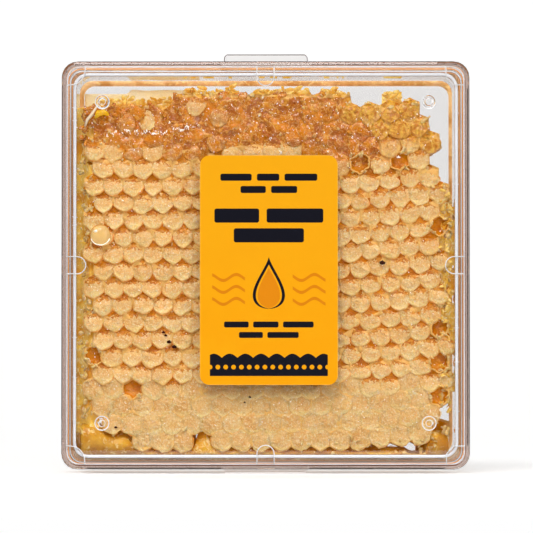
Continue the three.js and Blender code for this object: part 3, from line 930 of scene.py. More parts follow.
def merged_at(x, z):
    """1 near the foot, where the caps run together, 0 above."""
    return step(MERGED_TOP - z + 3 * lump(x, z, 8, 1.7), 0, MERGED_FADE)


def edge_points(corner, following):
    """Points from one cell corner to the next, the last left out."""
    return [
        (blend(corner.x, following.x, i / EDGE_STEPS), blend(corner.z, following.z, i / EDGE_STEPS))
        for i in range(EDGE_STEPS)
    ]


cells = comb_cells()
gap_draw = random.Random(COMB_SEED)
gap_sizes = [gap_draw.choice(GAP_SIZES) for _ in cells]
gap_tree = kdtree.KDTree(len(cells))
for index, cell in enumerate(cells):
    gap_tree.insert((cell.x, 0, cell.z + CELL_RADIUS), index)
gap_tree.balance()


def gap_at(x, z):
    """1 in the open gap over a cap, where the two caps above it meet, 0 elsewhere."""
    top, index, _ = gap_tree.find((x, 0, z))
    away = math.hypot((x - top.x) * 0.8, z - top.z + 0.7)
    reach = blend(*GAP_REACH, step(x, 10, 25)) * gap_sizes[index]
    inside = reach - away + 0.3 * lump(x, z, 1, 14)
    return step(inside, -0.2, 0.3) * (1 - 0.8 * merged_at(x, z))


def groove_y(x, z):
    """Where the comb's face is between its caps at the front."""
    groove = blend(GROOVE_DEPTH, MERGED_GROOVE_DEPTH, merged_at(x, z))
    dry = groove + GAP_DEPTH * gap_at(x, z) + 0.16 * lump(x, z, 3, 5.1)
    crushed = WET_GROOVE_DEPTH + 0.9 * lump(x, z, 2.6, 8.2) + 0.3 * lump(x, z, 1.1, 4.4)
    return CAP_Y + blend(dry, crushed, wet_at(x, z))


def back_groove_y(x, z):
    """Where the comb's face is between its caps at the back."""
    return COMB_BACK_Y - BACK_GROOVE + 0.2 * lump(x, z, 3, 9.4)


class Core(Builder):
    """The comb without its caps: the grooved front, pits, cut sides with the midrib, and the back."""

    def __init__(self, cells):
        super().__init__()
        self.cells = cells
        self.kinds = {}
        for cell in cells:
            for corner, following in self.sides(cell):
                self.kinds[corner.key, following.key] = cell.kind
        self.outward = self.outward_directions()

    @staticmethod
    def sides(cell):
        """Each corner of a cell and the corner that follows it."""
        return zip(cell.corners, cell.corners[1:] + cell.corners[:1])

    def beyond(self, corner, following):
        """The kind of the cell at the other side of a wall, or None at the comb's edge."""
        return self.kinds.get((following.key, corner.key))

    def outward_directions(self):
        """Which way is out of the comb, for each corner along its edge."""
        found = {}
        for cell in self.cells:
            for corner, following in self.sides(cell):
                if self.beyond(corner, following) is None:
                    out = Vector((following.z - corner.z, corner.x - following.x))
                    for end in (corner, following):
                        found[end.key] = found.get(end.key, Vector((0, 0))) + out
        return {key: out.normalized() for key, out in found.items()}

    def midrib_row(self, corner, following, steps):
        """Points along a cell's side in the comb's middle, which bulges at the comb's edge."""
        start = self.outward.get(corner.key, Vector((0, 0)))
        end = self.outward.get(following.key, Vector((0, 0)))
        row = []
        for i in steps:
            share = i / EDGE_STEPS
            out = start.lerp(end, share) * MIDRIB_BULGE
            x = blend(corner.x, following.x, share) + out.x
            z = blend(corner.z, following.z, share) + out.y
            reach = COMB_REACH + MIDRIB_BULGE / 2
            held_x, held_z = max(-reach, min(reach, x)), max(COMB_FOOT, z)
            row.append(self.point(held_x, MIDRIB_Y, held_z, wax=0.9, wet=0, gold=0))
        return row

    def surface_point(self, x, y, z, wax):
        """wax is how much of it is dry wax; None leaves that to the gaps between caps."""
        if wax is None:
            wax = (1 - gap_at(x, z)) * (1 - wet_at(x, z))
        return self.point(x, y, z, wax=wax, wet=wet_at(x, z), gold=gold_at(x, z))

    def front_ring(self, cell, reach, depth, wax):
        """Points round a cell at a share of its size. depth(x, z) gives y there."""
        ring = []
        for corner, following in self.sides(cell):
            for x, z in edge_points(corner, following):
                share = reach
                if cell.kind == "open" and reach < 1:
                    share += 0.2 * lump(x, z, 1.8, 8.8)
                x, z = blend(cell.x, x, share), blend(cell.z, z, share)
                ring.append(self.surface_point(x, depth(x, z), z, wax))
        return ring

    def rings(self, cell, levels):
        """Bands between the levels, each a share of the cell's size, a depth and how much it is wax."""
        last = None
        for reach, depth, wax in levels:
            ring = self.front_ring(cell, reach, depth, wax)
            if last is not None:
                self.band(last, ring)
            last = ring
        x, z = cell.x, cell.z
        self.fan(last, self.surface_point(x, depth(x, z) + 0.05, z, wax))

    def capped(self, cell):
        """The face under a cap, a little lower than the groove round it."""
        def below(x, z):
            return groove_y(x, z) + 0.35 * (1 - wet_at(x, z)) * (1 - gap_at(x, z))

        inner = [(reach, below, None) for reach in (0.9, 0.66, 0.33)]
        self.rings(cell, [(1, groove_y, None), *inner])

    def open(self, cell):
        """A pit with a ragged wax rim."""
        def rim(x, z):
            return CAP_Y + 0.3 + 0.5 * lump(x, z, 2, 6.6)

        def at(depth):
            return lambda x, z: rim(x, z) + depth

        levels = [
            (1, groove_y, None),
            (0.95, rim, 1),
            (0.88, rim, 1),
            (0.82, at(0.6), 0.7),
            (0.76, at(PIT_DEPTH), 0.2),
            (0.4, at(PIT_DEPTH + 0.3), 0),
        ]
        self.rings(cell, levels)

    def deep(self, cell):
        """A cell that is torn off down to the midrib."""
        around = []
        for corner, following in self.sides(cell):
            around += self.midrib_row(corner, following, range(EDGE_STEPS))

        def at(depth):
            return lambda x, z: MIDRIB_Y + depth + 0.4 * lump(x, z, 1.5, 2.2)

        ring = self.front_ring(cell, 0.8, at(0.4), 0.35)
        inner = self.front_ring(cell, 0.55, at(0.9), 0)
        self.band(around, ring)
        self.band(ring, inner)
        self.fan(inner, self.point(cell.x, at(1)(cell.x, cell.z), cell.z, wax=0, wet=0, gold=0))

    def cut_side(self, corner, following, first, last):
        """A cut wall from one row of points along a cell's side to another, hollow between."""
        steps = range(EDGE_STEPS + 1)
        out = Vector((following.z - corner.z, corner.x - following.x)).normalized()
        rows = [first]
        for level in range(1, CUT_STEPS):
            share = level / CUT_STEPS
            row = []
            for i in steps:
                start, end = Vector(self.points[first[i]]), Vector(self.points[last[i]])
                place = start.lerp(end, share)
                hollow = math.sin(math.pi * i / EDGE_STEPS)
                inwards = CUT_HOLLOW * hollow * math.sin(math.pi * share) ** 0.4
                shift = 0.4 * lump(place.x, place.z, 2, share) if 0 < i < EDGE_STEPS else 0
                x, z = place.x - out.x * inwards, place.z - out.y * inwards
                row.append(self.point(x, place.y + shift, z, wax=1 - hollow * 0.9, wet=0, gold=0))
            rows.append(row)
        rows.append(last)
        for above, below in zip(rows, rows[1:]):
            self.band(above, below, closed=False)

    def back(self, cell):
        """The face under a cap at the back."""
        def below(x, z):
            return back_groove_y(x, z) - 0.3

        self.rings(cell, [(1, back_groove_y, 0.3), (0.85, below, 0)])

    def edge_row(self, corner, following, depth):
        """Points along a cell's side, both ends included. depth(x, z) gives y there."""
        places = edge_points(corner, following) + [(following.x, following.z)]
        return [self.surface_point(x, depth(x, z), z, None) for x, z in places]

    def build(self):
        """Every cell by its kind, and cut sides along the comb's edge and round what is torn off."""
        for cell in self.cells:
            getattr(self, cell.kind)(cell)
            self.back(cell)
            for corner, following in self.sides(cell):
                beyond = self.beyond(corner, following)
                midrib = self.midrib_row(corner, following, range(EDGE_STEPS + 1))
                if cell.kind != "deep" and beyond in (None, "deep"):
                    front = self.edge_row(corner, following, groove_y)
                    self.cut_side(corner, following, front, midrib)
                if beyond is None:
                    back = self.edge_row(corner, following, back_groove_y)
                    self.cut_side(corner, following, midrib, back)


# ---------------------------------------------------------------- caps

# Degrees round a cap, closer together round its notch
CAP_TURNS = (-90, -60, -30, 0, 30, 46, 62, 90, 118, 134, 150, 180, 210, 240)
CAP_ANGLES = [math.radians(turn) for turn in CAP_TURNS]

# Rings of a cap: how far out each is, and how far behind the cap's face
CAP_RINGS = ((0.5, 0), (0.88, 0), (1.0, 0.14), (0.96, 1.3))
DOME_RISE = 0.42
FLAT_RISE = 0.14
NOTCH_DIP = 0.2
CAP_LUMPS = 0.22
TORN_LUMPS = 0.7

# The forms of caps, by number
POINTED = (0, 1, 2)
ROUND = (3, 4, 5)
FLAT = (6, 7)
TORN = (8, 9)
CAP_FORMS = 10
CRUMB_FORMS = 3
CRUMB_RADIUS = 0.5
CRUMB_NOISE = 2600  # lumps in a metre

# How far out the cap still reaches under its notch, and how far the notch is turned, in degrees
NOTCHES = [(0.44, 0), (0.56, 6), (0.7, -4), (0.42, -20), (0.52, -8), (0.6, 14)]


def cap_reach(index, angle):
    """How far out a cap's edge is at an angle, as a share of the cell's radius."""
    sixth = math.pi / 3
    hexagon = math.cos(sixth / 2) / math.cos((angle + sixth / 2) % sixth - sixth / 2)
    wave = lump(math.cos(angle), math.sin(angle), 0.7, 50 + 3 * index)
    below = max(0, -math.sin(angle))

    if index in FLAT:
        return hexagon * 1.08 + 0.05 * wave
    if index in TORN:
        return 0.86 + 0.3 * wave
    cut, turn = NOTCHES[index]
    upright = math.sin(angle - math.radians(turn))
    reach = blend(hexagon, 0.97, 0.5 if index in ROUND else 0.1) + 0.1 * wave + 0.1 * below ** 3
    return min(reach, cut / upright) if upright > 0.6 else reach


def cap_form(index):
    """One cap at the origin, facing -Y: a low dome with a torn notch at its top and a skirt behind.

    A point's edge is how far out it is, and notch and low are how near it is to the notch and the
    lower rim.
    """
    flat, torn = index in FLAT, index in TORN
    height = FLAT_RISE if flat else DOME_RISE
    shape = Builder()
    rings = []
    for share, behind in CAP_RINGS:
        ring = []
        for angle in CAP_ANGLES:
            reach = cap_reach(index, angle) * share
            x, z = math.cos(angle) * reach, math.sin(angle) * reach
            wave = lump(x, z, 0.75, 11 + index * 7)
            notch = 0 if flat else step(z, -0.25, 0.45) * (1 - 0.4 * step(abs(x), 0.4, 0.9))
            lumps = (TORN_LUMPS if torn else CAP_LUMPS) * wave
            rise = height * (1 - share * share) - notch * NOTCH_DIP + lumps
            at = (x * CELL_RADIUS, behind - rise, z * CELL_RADIUS)
            edge = share if behind < 1 else 1.2
            ring.append(shape.point(*at, edge=edge, notch=notch, low=step(-z, 0.1, 0.8)))
        rings.append(ring)
    for inner, outer in zip(rings, rings[1:]):
        shape.band(inner, outer)
    dent = height * 0.7 + 0.1 * lump(0, 0, 1, 20 + index)
    shape.fan(rings[0], shape.point(0, -dent, 0, edge=0, notch=0, low=0))
    return shape.mesh(f"cap_form_{index}")


def crumb_form(index):
    """A small torn lump of wax about 1 mm across."""
    mesh = bpy.data.meshes.new(f"crumb_form_{index}")
    made = bmesh.new()
    bmesh.ops.create_icosphere(made, subdivisions=1, radius=CRUMB_RADIUS * MM)
    for vertex in made.verts:
        lumps = noise.noise(vertex.co * CRUMB_NOISE + Vector((index * 9, 0, 0)))
        vertex.co = vertex.co * (1 + 0.7 * lumps)
    made.to_mesh(mesh)
    made.free()
    mesh.polygons.foreach_set("use_smooth", [True] * len(mesh.polygons))
    for mark, value in (("edge", 0.6), ("notch", 0.0), ("low", 0.6)):
        layer = mesh.attributes.new(mark, "FLOAT", "POINT")
        layer.data.foreach_set("value", [value] * len(mesh.vertices))
    return mesh


CAPS_INPUTS = {
    "Points": "Geometry",
    "Forms": "Collection",
    "Level": "Int",
    "Lump Size": "Float",
    "Lump Depth": "Float",
    "Grain Size": "Float",
    "Grain Depth": "Float",
    "Wax": "Material",
}


def made_ragged(tree, shape, size, depth):
    """Moves the points of a shape by noise."""
    place = tree.node("GeometryNodeInputPosition").outputs[0]
    inputs = {"Vector": place, "Scale": 1 / size, "Detail": 1.0}
    cloud = tree.node("ShaderNodeTexNoise", None, inputs).outputs["Color"]
    centred = tree.vector("SUBTRACT", {0: cloud, 1: (0.5, 0.5, 0.5)})
    offset = tree.vector("SCALE", {0: centred, "Scale": depth})
    inputs = {"Geometry": shape, "Offset": offset}
    return tree.node("GeometryNodeSetPosition", None, inputs).outputs[0]


def caps_tree():
    """Sets a cap form on each point, joins them to one mesh, rounds it and makes it ragged."""
    group = bpy.data.node_groups.new("caps", "GeometryNodeTree")
    for name, kind in CAPS_INPUTS.items():
        group.interface.new_socket(name, in_out="INPUT", socket_type=f"NodeSocket{kind}")
    group.interface.new_socket("Caps", in_out="OUTPUT", socket_type="NodeSocketGeometry")
    tree = Tree(group)
    given = tree.node("NodeGroupInput").outputs

    def number(name):
        return Value(tree, given[name])

    def mark(name, kind="FLOAT"):
        inputs = {"Name": name}
        return tree.value("GeometryNodeInputNamedAttribute", {"data_type": kind}, inputs)

    inputs = {"Collection": given["Forms"], "Separate Children": True, "Reset Children": True}
    forms = tree.node("GeometryNodeCollectionInfo", None, inputs)
    inputs = {
        "Points": given["Points"],
        "Instance": forms.outputs[0],
        "Pick Instance": True,
        "Instance Index": mark("form", "INT"),
        "Rotation": mark("turn", "FLOAT_VECTOR"),
        "Scale": mark("size", "FLOAT_VECTOR"),
    }
    placed = tree.node("GeometryNodeInstanceOnPoints", None, inputs)
    joined = tree.node("GeometryNodeRealizeInstances", None, {0: placed.outputs[0]})
    inputs = {"Mesh": joined.outputs[0], "Level": given["Level"]}
    shape = tree.node("GeometryNodeSubdivisionSurface", None, inputs).outputs[0]
    edge = mark("edge")
    roughness = mark("ragged") * 1.6 + edge * edge * 1.5 + 0.4
    shape = made_ragged(tree, shape, number("Lump Size"), number("Lump Depth"))
    shape = made_ragged(tree, shape, number("Grain Size"), number("Grain Depth") * roughness)
    smooth = tree.node("GeometryNodeSetShadeSmooth", None, {0: shape})
    inputs = {"Geometry": smooth.outputs[0], "Material": given["Wax"]}
    waxed = tree.node("GeometryNodeSetMaterial", None, inputs)
    tree.node("NodeGroupOutput", None, {0: waxed.outputs[0]})
    return group


def cap_points(name, places):
    """One point for each cap: its place, turn, size, form and looks."""
    mesh = bpy.data.meshes.new(name)
    mesh.from_pydata([Vector(place["at"]) * MM for place in places], [], [])
    for mark, kind, field in (
        ("turn", "FLOAT_VECTOR", "vector"),
        ("size", "FLOAT_VECTOR", "vector"),
        ("form", "INT", "value"),
        ("wet", "FLOAT", "value"),
        ("tone", "FLOAT", "value"),
        ("gold", "FLOAT", "value"),
        ("ragged", "FLOAT", "value"),
    ):
        layer = mesh.attributes.new(mark, kind, "POINT")
        for index, place in enumerate(places):
            setattr(layer.data[index], field, place[mark])
    return mesh


def grown(name, group, points, inputs):
    """A plain mesh of what the group makes of the points."""
    holder = bpy.data.objects.new(name, points)
    bpy.context.scene.collection.objects.link(holder)
    modifier = holder.modifiers.new(name, "NODES")
    modifier.node_group = group
    for socket in group.interface.items_tree:
        if socket.in_out == "INPUT" and socket.name in inputs:
            modifier[socket.identifier] = inputs[socket.name]
    graph = bpy.context.evaluated_depsgraph_get()
    mesh = bpy.data.meshes.new_from_object(
        holder.evaluated_get(graph), preserve_all_data_layers=True, depsgraph=graph
    )
    bpy.data.objects.remove(holder)
    mesh.name = name
    return mesh


# Places of the paler caps in the wet stretch, x and z, and how wet each still is
PALE_CAPS = [
    (-32.1, 95.0, 0.2), (-37.8, 94.6, 0.45), (-18.7, 99.3, 0.25), (-30.3, 90.4, 0.5),
    (-12.4, 96.0, 0.4), (-13.2, 89.4, 0.45), (7.7, 90.6, 0.5),
]

# Where beads of honey show painted glints, glowing a little: along one line, and in small groups, x and z
GLINT_LINE = [(-42.6, 91.3), (-36.4, 92.1), (-30, 91.6), (-19, 93.2)]
BRIGHT_SPOTS = [(1.5, 90.2), (3.9, 86.4), (35.9, 85.1), (-45.7, 63.9)]

# Torn, honey-soaked wax on the comb's top edge: left, right, bottom and top
TOP_SCRAPS = [
    (-47, -22, 99, 101.6), (-21, -9, 102, 104.6), (-3, 12, 102.5, 104.4),
    (15, 21.5, 102, 104.4), (32.5, 37, 101.5, 103.8),
]

# Torn, pale flakes down the comb's right side: left, right, bottom and top
TORN_SIDE = (47, 50, 17, 78)

# How many crumbs, scraps, flakes and beads there are
EDGE_CRUMBS = 3  # at each corner of the comb's edge
WET_EDGE_CRUMBS = 6  # and more where it is wet
SOAKED_CRUMBS = 2  # over each cell, kept where it is wet or yellow
OPEN_CRUMBS = 14  # round each open cell
NOTCH_CRUMBS = 0.55  # in each dry cap's notch
SCRAPS = 4  # in each millimetre of the top edge
TORN_FLAKES = 110
BEADS = 4  # over each cell, in each millimetre of the line and at each spot
WET_BEADS = 7
GOLD_BEADS = 6

SOAKED = 0.5  # how wet a cap is that is torn or gone
CELL_REACH = 2.6  # how far from a cell its crumbs and beads lie
EDGE_REACHES = (2.5, 5, 7.5, 10)


def edge_distance(x, z):
    """How far a place is inside the comb's outline, up to 10 mm."""
    angles = [math.pi * i / 4 for i in range(8)]
    inside = 0
    for reach in EDGE_REACHES:
        around = [(x + reach * math.cos(angle), z + reach * math.sin(angle)) for angle in angles]
        if not all(inside_outline(*place) for place in around):
            break
        inside = reach
    return inside


def any_turn(draw):
    """A turn about each axis."""
    return tuple(draw.uniform(0, math.pi) for _ in range(3))


def nearby(draw, x, z, reach):
    """A place within reach of another, to each side and up or down."""
    return x + draw.uniform(-reach, reach), z + draw.uniform(-reach, reach)


def within(draw, *ranges):
    """One number from each range."""
    return tuple(draw.uniform(low, high) for low, high in ranges)


def cap_place(at, turn, size, form, **looks):
    """What has to be known of one cap, crumb or bead, dry and pale unless looks says otherwise."""
    looks = {"wet": 0.0, "tone": 0.5, "gold": 0.0, "ragged": 0.0} | looks
    return {"at": at, "turn": turn, "size": size, "form": form} | looks


def front_form(kind, pick, left, merged, wet):
    """Torn where wet, flat where the caps run together, and more often pointed at the left."""
    if wet > SOAKED:
        return TORN[int(kind * len(TORN))]
    forms = ROUND
    if kind < merged:
        forms = FLAT
    elif kind < blend(0.12, 0.9, left):
        forms = POINTED
    return forms[int(pick * len(forms))]


def front_caps(draw):
    """A cap on each closed cell of the front, and the paler caps in the wet stretch."""
    places = []
    for cell in cells:
        x, z = nearby(draw, cell.x, cell.z, 0.18)
        wet, gold, merged = wet_at(x, z), gold_at(x, z), merged_at(x, z)
        kind, tone, roll, sink, width, pick = (draw.random() for _ in range(6))
        near_pale = any(math.dist((x, z), place[:2]) < CELL_PITCH * 0.6 for place in PALE_CAPS)
        if cell.kind != "capped" or (wet > SOAKED and (near_pale or pick < 0.45)):
            continue
        left = step(-x, -6, 10)
        tilt = blend(0.08, 0.18, left) * (1 - merged) * (1 - wet)
        spread = sum(math.hypot(c.x - cell.x, c.z - cell.z) for c in cell.corners) / 6 / CELL_RADIUS
        size = spread * blend(1.02, 1.12, width)
        depth = CAP_Y + 0.5 + 0.3 * (sink - 0.5) + wet * (0.2 + 0.5 * sink)
        edge = 1 - step(edge_distance(x, z), 0, 5)
        turn = (-tilt + 0.12 * (sink - 0.5), 0.3 * (roll - 0.5), 0.12 * (pick - 0.5))
        shape = (size * blend(0.97, 1.05, roll), 1, size)
        form = front_form(kind, pick, left, merged, wet)
        looks = {
            "wet": wet * blend(0.75, 1, sink),
            "tone": tone,
            "gold": gold * blend(0.6, 1, tone),
            "ragged": max(0.25 * tone, 0.7 * edge, wet, 0.6 * gold),
        }
        places.append(cap_place((x, depth, z), turn, shape, form, **looks))
    for x, z, wet in PALE_CAPS:
        form = ROUND[draw.randrange(len(ROUND))]
        turn = (0, draw.uniform(-1, 1), 0)
        at = (x, CAP_Y + 0.15, z)
        places.append(cap_place(at, turn, (0.95, 1, 0.95), form, wet=wet, ragged=0.5))
    return places


def back_caps(draw):
    """A cap on each cell of the back."""
    places = []
    for cell in cells:
        tone, turn, sink = draw.random(), draw.uniform(-1, 1), draw.uniform(-1, 1)
        at = (cell.x, COMB_BACK_Y - 0.5 + 0.1 * sink, cell.z)
        wet = 0.8 * step(lump(cell.x, cell.z, 16, 31), 0.25, 0.5)
        turned = (-0.06 + 0.05 * sink, turn * 0.12, math.pi)
        form = draw.randrange(TORN[0])
        places.append(cap_place(at, turned, (1.06, 1, 1.06), form, wet=wet, tone=tone, ragged=0.3))
    return places


def crumb_places(core, draw):
    """Crumbs and flakes along the torn outline, over the wet stretch and in the notches."""
    places = []

    def add(x, y, z, size, **looks):
        turn = any_turn(draw)
        shape = (size * draw.uniform(0.7, 1.7), size * draw.uniform(0.35, 0.8), size)
        places.append(cap_place((x, y, z), turn, shape, draw.randrange(CRUMB_FORMS), **looks))

    def at_edge(corner, out):
        for _ in range(EDGE_CRUMBS + int(WET_EDGE_CRUMBS * wet_at(corner.x, corner.z))):
            inwards = draw.uniform(0.2, 2.4)
            x, z = nearby(draw, corner.x - out.x * inwards, corner.z - out.y * inwards, 0.6)
            y = CAP_Y + draw.uniform(0.3, 3.0)
            looks = {"tone": draw.random(), "gold": 0.5 * draw.random(), "wet": 0.7 * wet_at(x, z)}
            add(x, y, max(COMB_FOOT, z), draw.uniform(0.7, 2.0), ragged=0.6, **looks)

    def soaked(cell):
        for _ in range(SOAKED_CRUMBS):
            x, z = nearby(draw, cell.x, cell.z, CELL_REACH)
            wet, gold = wet_at(x, z), gold_at(x, z)
            size = draw.uniform(0.5, 1.5)
            if max(wet, gold) > 0.4:
                wet *= draw.uniform(0.2, 0.9)
                add(x, groove_y(x, z) - 0.1, z, size, wet=wet, gold=gold, ragged=0.5)

    def round_open(cell):
        for _ in range(OPEN_CRUMBS):
            angle, reach = draw.uniform(0, 2 * math.pi), draw.uniform(0.7, 1.05) * CELL_RADIUS
            x, z = cell.x + reach * math.cos(angle), cell.z + reach * math.sin(angle)
            y = CAP_Y + draw.uniform(0, 0.8)
            add(x, y, z, draw.uniform(0.6, 1.5), gold=0.5 * draw.random(), ragged=0.6)

    def in_notch(cell):
        if wet_at(cell.x, cell.z) < 0.4 and draw.random() < NOTCH_CRUMBS:
            x, z = cell.x + draw.uniform(-1.4, 1.4), cell.z + CELL_RADIUS * draw.uniform(0.62, 0.9)
            add(x, CAP_Y + 0.75, z, draw.uniform(0.4, 0.9), tone=draw.random(), ragged=0.3)

    corners = {corner.key: corner for cell in cells for corner in cell.corners}
    for key, out in core.outward.items():
        at_edge(corners[key], out)
    for cell in cells:
        soaked(cell)
        if cell.kind == "open":
            round_open(cell)
        if cell.kind == "capped":
            in_notch(cell)
    return places


def scrap_places(draw):
    """Yellow translucent scraps of torn wax along the comb's top edge and down its right side."""
    places = []
    for left, right, bottom, top in TOP_SCRAPS:
        for _ in range(int((right - left) * SCRAPS)):
            at = within(draw, (left, right), (-8, 8), (bottom, top))
            tilt_x, tilt_y, turn = any_turn(draw)
            turned = (tilt_x * 0.2, tilt_y * 0.2, turn)
            size = within(draw, (2, 4.2), (0.8, 1.8), (1.2, 2.2))
            places.append(cap_place(at, turned, size, draw.randrange(CRUMB_FORMS), ragged=0.1))
    left, right, bottom, top = TORN_SIDE
    for _ in range(TORN_FLAKES):
        x, behind, z = within(draw, (left, right), (-0.2, 1.8), (bottom, top))
        turn = any_turn(draw)
        size = within(draw, (0.8, 2.6), (0.4, 0.9), (0.8, 2))
        at = (x, CAP_Y + behind, z)
        places.append(cap_place(at, turn, size, draw.randrange(CRUMB_FORMS), ragged=0.6))
    return places


def glint_places(draw):
    """Tiny beads of honey that glow as painted glints, most of them on the wet stretch and along one line
    there.
    """
    places = []

    def add(x, z, size):
        turn = any_turn(draw)
        shape = (size * draw.uniform(0.8, 2), size * 0.6, size * 0.8)
        at = (x, min(groove_y(x, z), CAP_Y + 0.3) - draw.uniform(0.4, 0.9), z)
        places.append(cap_place(at, turn, shape, draw.randrange(CRUMB_FORMS)))

    for start, end in zip(GLINT_LINE, GLINT_LINE[1:]):
        for _ in range(int(math.dist(start, end) * BEADS)):
            share = draw.random()
            x, z = (blend(*ends, share) for ends in zip(start, end))
            add(x + draw.uniform(-0.4, 0.4), z + draw.uniform(-0.5, 0.5), draw.uniform(0.2, 0.5))
    for cell in cells:
        more = WET_BEADS * wet_at(cell.x, cell.z) + GOLD_BEADS * gold_at(cell.x, cell.z)
        for _ in range(BEADS + int(more)):
            x, z = nearby(draw, cell.x, cell.z, CELL_REACH)
            if draw.random() < 0.3 + 0.6 * wet_at(x, z) + 0.3 * gold_at(x, z):
                add(x, z, draw.uniform(0.12, 0.36))
    for x, z in BRIGHT_SPOTS:
        for _ in range(BEADS):
            add(*nearby(draw, x, z, 0.4), draw.uniform(0.3, 0.6))
    return places


def grow_on(name, places, forms, group, wax, level=1):
    """A piece with a form on each place, rounded by level and made ragged by two sizes of noise."""
    inputs = {
        "Forms": forms,
        "Level": level,
        "Lump Size": 4.5 * MM,
        "Lump Depth": 1.3 * MM,
        "Grain Size": 0.95 * MM,
        "Grain Depth": 0.45 * MM,
        "Wax": wax,
    }
    piece(name, grown(name, group, cap_points(name, places), inputs), wax)


def form_collection(name, meshes):
    """The forms that the caps' tree picks from, by number."""
    forms = bpy.data.collections.new(name)
    for index, mesh in enumerate(meshes):
        forms.objects.link(bpy.data.objects.new(f"{name}_{index}", mesh))
    return forms


def discard(forms):
    """Removes the loose forms once they have been grown on their places."""
    for form in list(forms.objects):
        bpy.data.objects.remove(form)
    bpy.data.collections.remove(forms)


def comb():
    """The comb and its caps, with the crumbs, scraps and beads on them."""
    core = Core(cells)
    core.build()
    piece("comb_core", core.mesh("comb_core"), amber_comb(), ("honeycomb",))
    group = caps_tree()
    wax = capped_wax()
    draw = random.Random(COMB_SEED)
    forms = form_collection("cap_form", [cap_form(index) for index in range(CAP_FORMS)])
    grow_on("front_caps", front_caps(draw), forms, group, wax)
    grow_on("back_caps", back_caps(draw), forms, group, wax)
    discard(forms)
    forms = form_collection("crumb_form", [crumb_form(index) for index in range(CRUMB_FORMS)])
    grow_on("wax_crumbs", crumb_places(core, draw), forms, group, wax)
    yellow = clear_honey("yellow_scraps", colour(210, 150, 40), colour(240, 200, 108), 0.6, 0.24)
    grow_on("yellow_scraps", scrap_places(draw), forms, group, yellow)
    # The beads glow white a little: painted glints.
    looks = {"Roughness": 0.1, "Coat Weight": 1.0}
    bead = lit("honey_beads", (1, 0.97, 0.9, 1), 0.35, (1, 0.95, 0.86, 1), **looks)
    grow_on("honey_beads", glint_places(draw), forms, group, bead, level=0)
    discard(forms)


# ---------------------------------------------------------------- honey outside the comb

# The drained honey, whose foot reaches just into the walls
RIM_WALL = 50.85
RIM_END_Y = 0.85
TRAY_WALL = 52.7
TRAY_END_Y = 15.2
SIDE_CLEAR = 1.2  # from the side walls, whose corners are round
POOL_RIGHT = 49.2
POOL_FRONT_Y = -12.2
POOL_COLUMNS = 110
POOL_ROWS = 8
FRONT_DROP = 1.2  # how much lower the honey's front edge is

# Heights of its top from left to right, and between which x each gives way to the next
MOUND_TOP = 13.6
MOUND_SHOULDER = 10.6
POOL_TOP = 6.9
POOL_DIP = 5.8
RIGHT_MOUND_TOP = 11.6
SHOULDER_X = (-47, -41)
POOL_X = (-38, -34)
DIP_X = (37, 39)
RIGHT_MOUND_X = (42.5, 44.5)

# Honey in the gap at the comb's foot
NOTCH_X = -16
NOTCH_HALF = 3
NOTCH_RISE = 6
NOTCH_Y = (-12, -10.5)

# Smears at the comb's sides: left and right, and bottom and top
LEFT_SMEAR = ((-51, -44.8), (11, 99))
RIGHT_SMEAR = ((44.5, 51), (22, 79))
SMEAR_WIDTH = 6

# Films on the inside of the back
BACK_INNER_Y = BACK_Y - PANEL
FILM_X = (-50.3, -18)
FILM_FOOT = 90
FILM_TOP = 104.4
FILM_STEP_X = (-38.8, -37.2)
FILM_STEP_RISE = 1.1
TOP_HONEY_X = (-23, 38)
TOP_HONEY_Z = (98, 105)
TOP_HONEY_LOW = 98.5
TOP_HONEY_RISE = 6.2  # behind the scraps
TOP_HONEY_FADE = 1.5


def honey_level(x, y):
    """Height of the drained honey: mounds in the lower corners and a ragged pool between them."""
    ragged = 0.9 * lump(x, y, 4, 12.5) + 0.5 * lump(x, y, 1.5, 3.5)
    left = blend(MOUND_TOP, MOUND_SHOULDER, step(x, *SHOULDER_X))
    level = blend(left, POOL_TOP, step(x, *POOL_X))
    level += NOTCH_RISE * math.exp(-(((x - NOTCH_X) / NOTCH_HALF) ** 4)) * step(y, *NOTCH_Y)
    level = blend(level, POOL_DIP, step(x, *DIP_X))
    level = blend(level, RIGHT_MOUND_TOP, step(x, *RIGHT_MOUND_X))
    return level + ragged * (1 - 0.4 * step(x, -40, -34))


def honey_block(left, front, back, floor):
    """A closed block of honey with a ragged top and a rounded front edge."""
    block = Builder()
    columns = [blend(left, POOL_RIGHT, i / POOL_COLUMNS) for i in range(POOL_COLUMNS + 1)]
    rows = []
    for j in range(POOL_ROWS + 1):
        y = blend(front, back, j / POOL_ROWS)
        drop = FRONT_DROP * (1 - math.sin(math.pi / 2 * min(1, j / 2)))
        tops = [max(floor + 0.1, honey_level(x, y) - drop) for x in columns]
        places = [(x, y + 0.3 * lump(x, y, 3, 7.7), top) for x, top in zip(columns, tops)]
        rows.append([block.point(*place) for place in places])
    under = [[block.point(*block.points[point][:2], floor) for point in row] for row in rows]
    for level in (rows, under):
        for near, far in zip(level, level[1:]):
            block.band(near, far, closed=False)
    for end in (0, -1):
        block.band(rows[end], under[end], closed=False)
        block.band([row[end] for row in rows], [row[end] for row in under], closed=False)
    return block


def drained_honey():
    """Honey at the foot of the box: a block within the base's rim, and one in the tray behind it."""
    block = honey_block(-RIM_WALL + SIDE_CLEAR, POOL_FRONT_Y, RIM_END_Y, MIDDLE_Z - RIM_WALL)
    block.take(honey_block(-TRAY_WALL + SIDE_CLEAR, RIM_END_Y + 0.2, TRAY_END_Y, MIDDLE_Z - TRAY_WALL))
    finish = clear_honey("drained_honey", colour(190, 122, 10), colour(224, 168, 52), 0.7)
    piece("drained_honey", block.mesh("drained_honey"), finish, ("honey",))


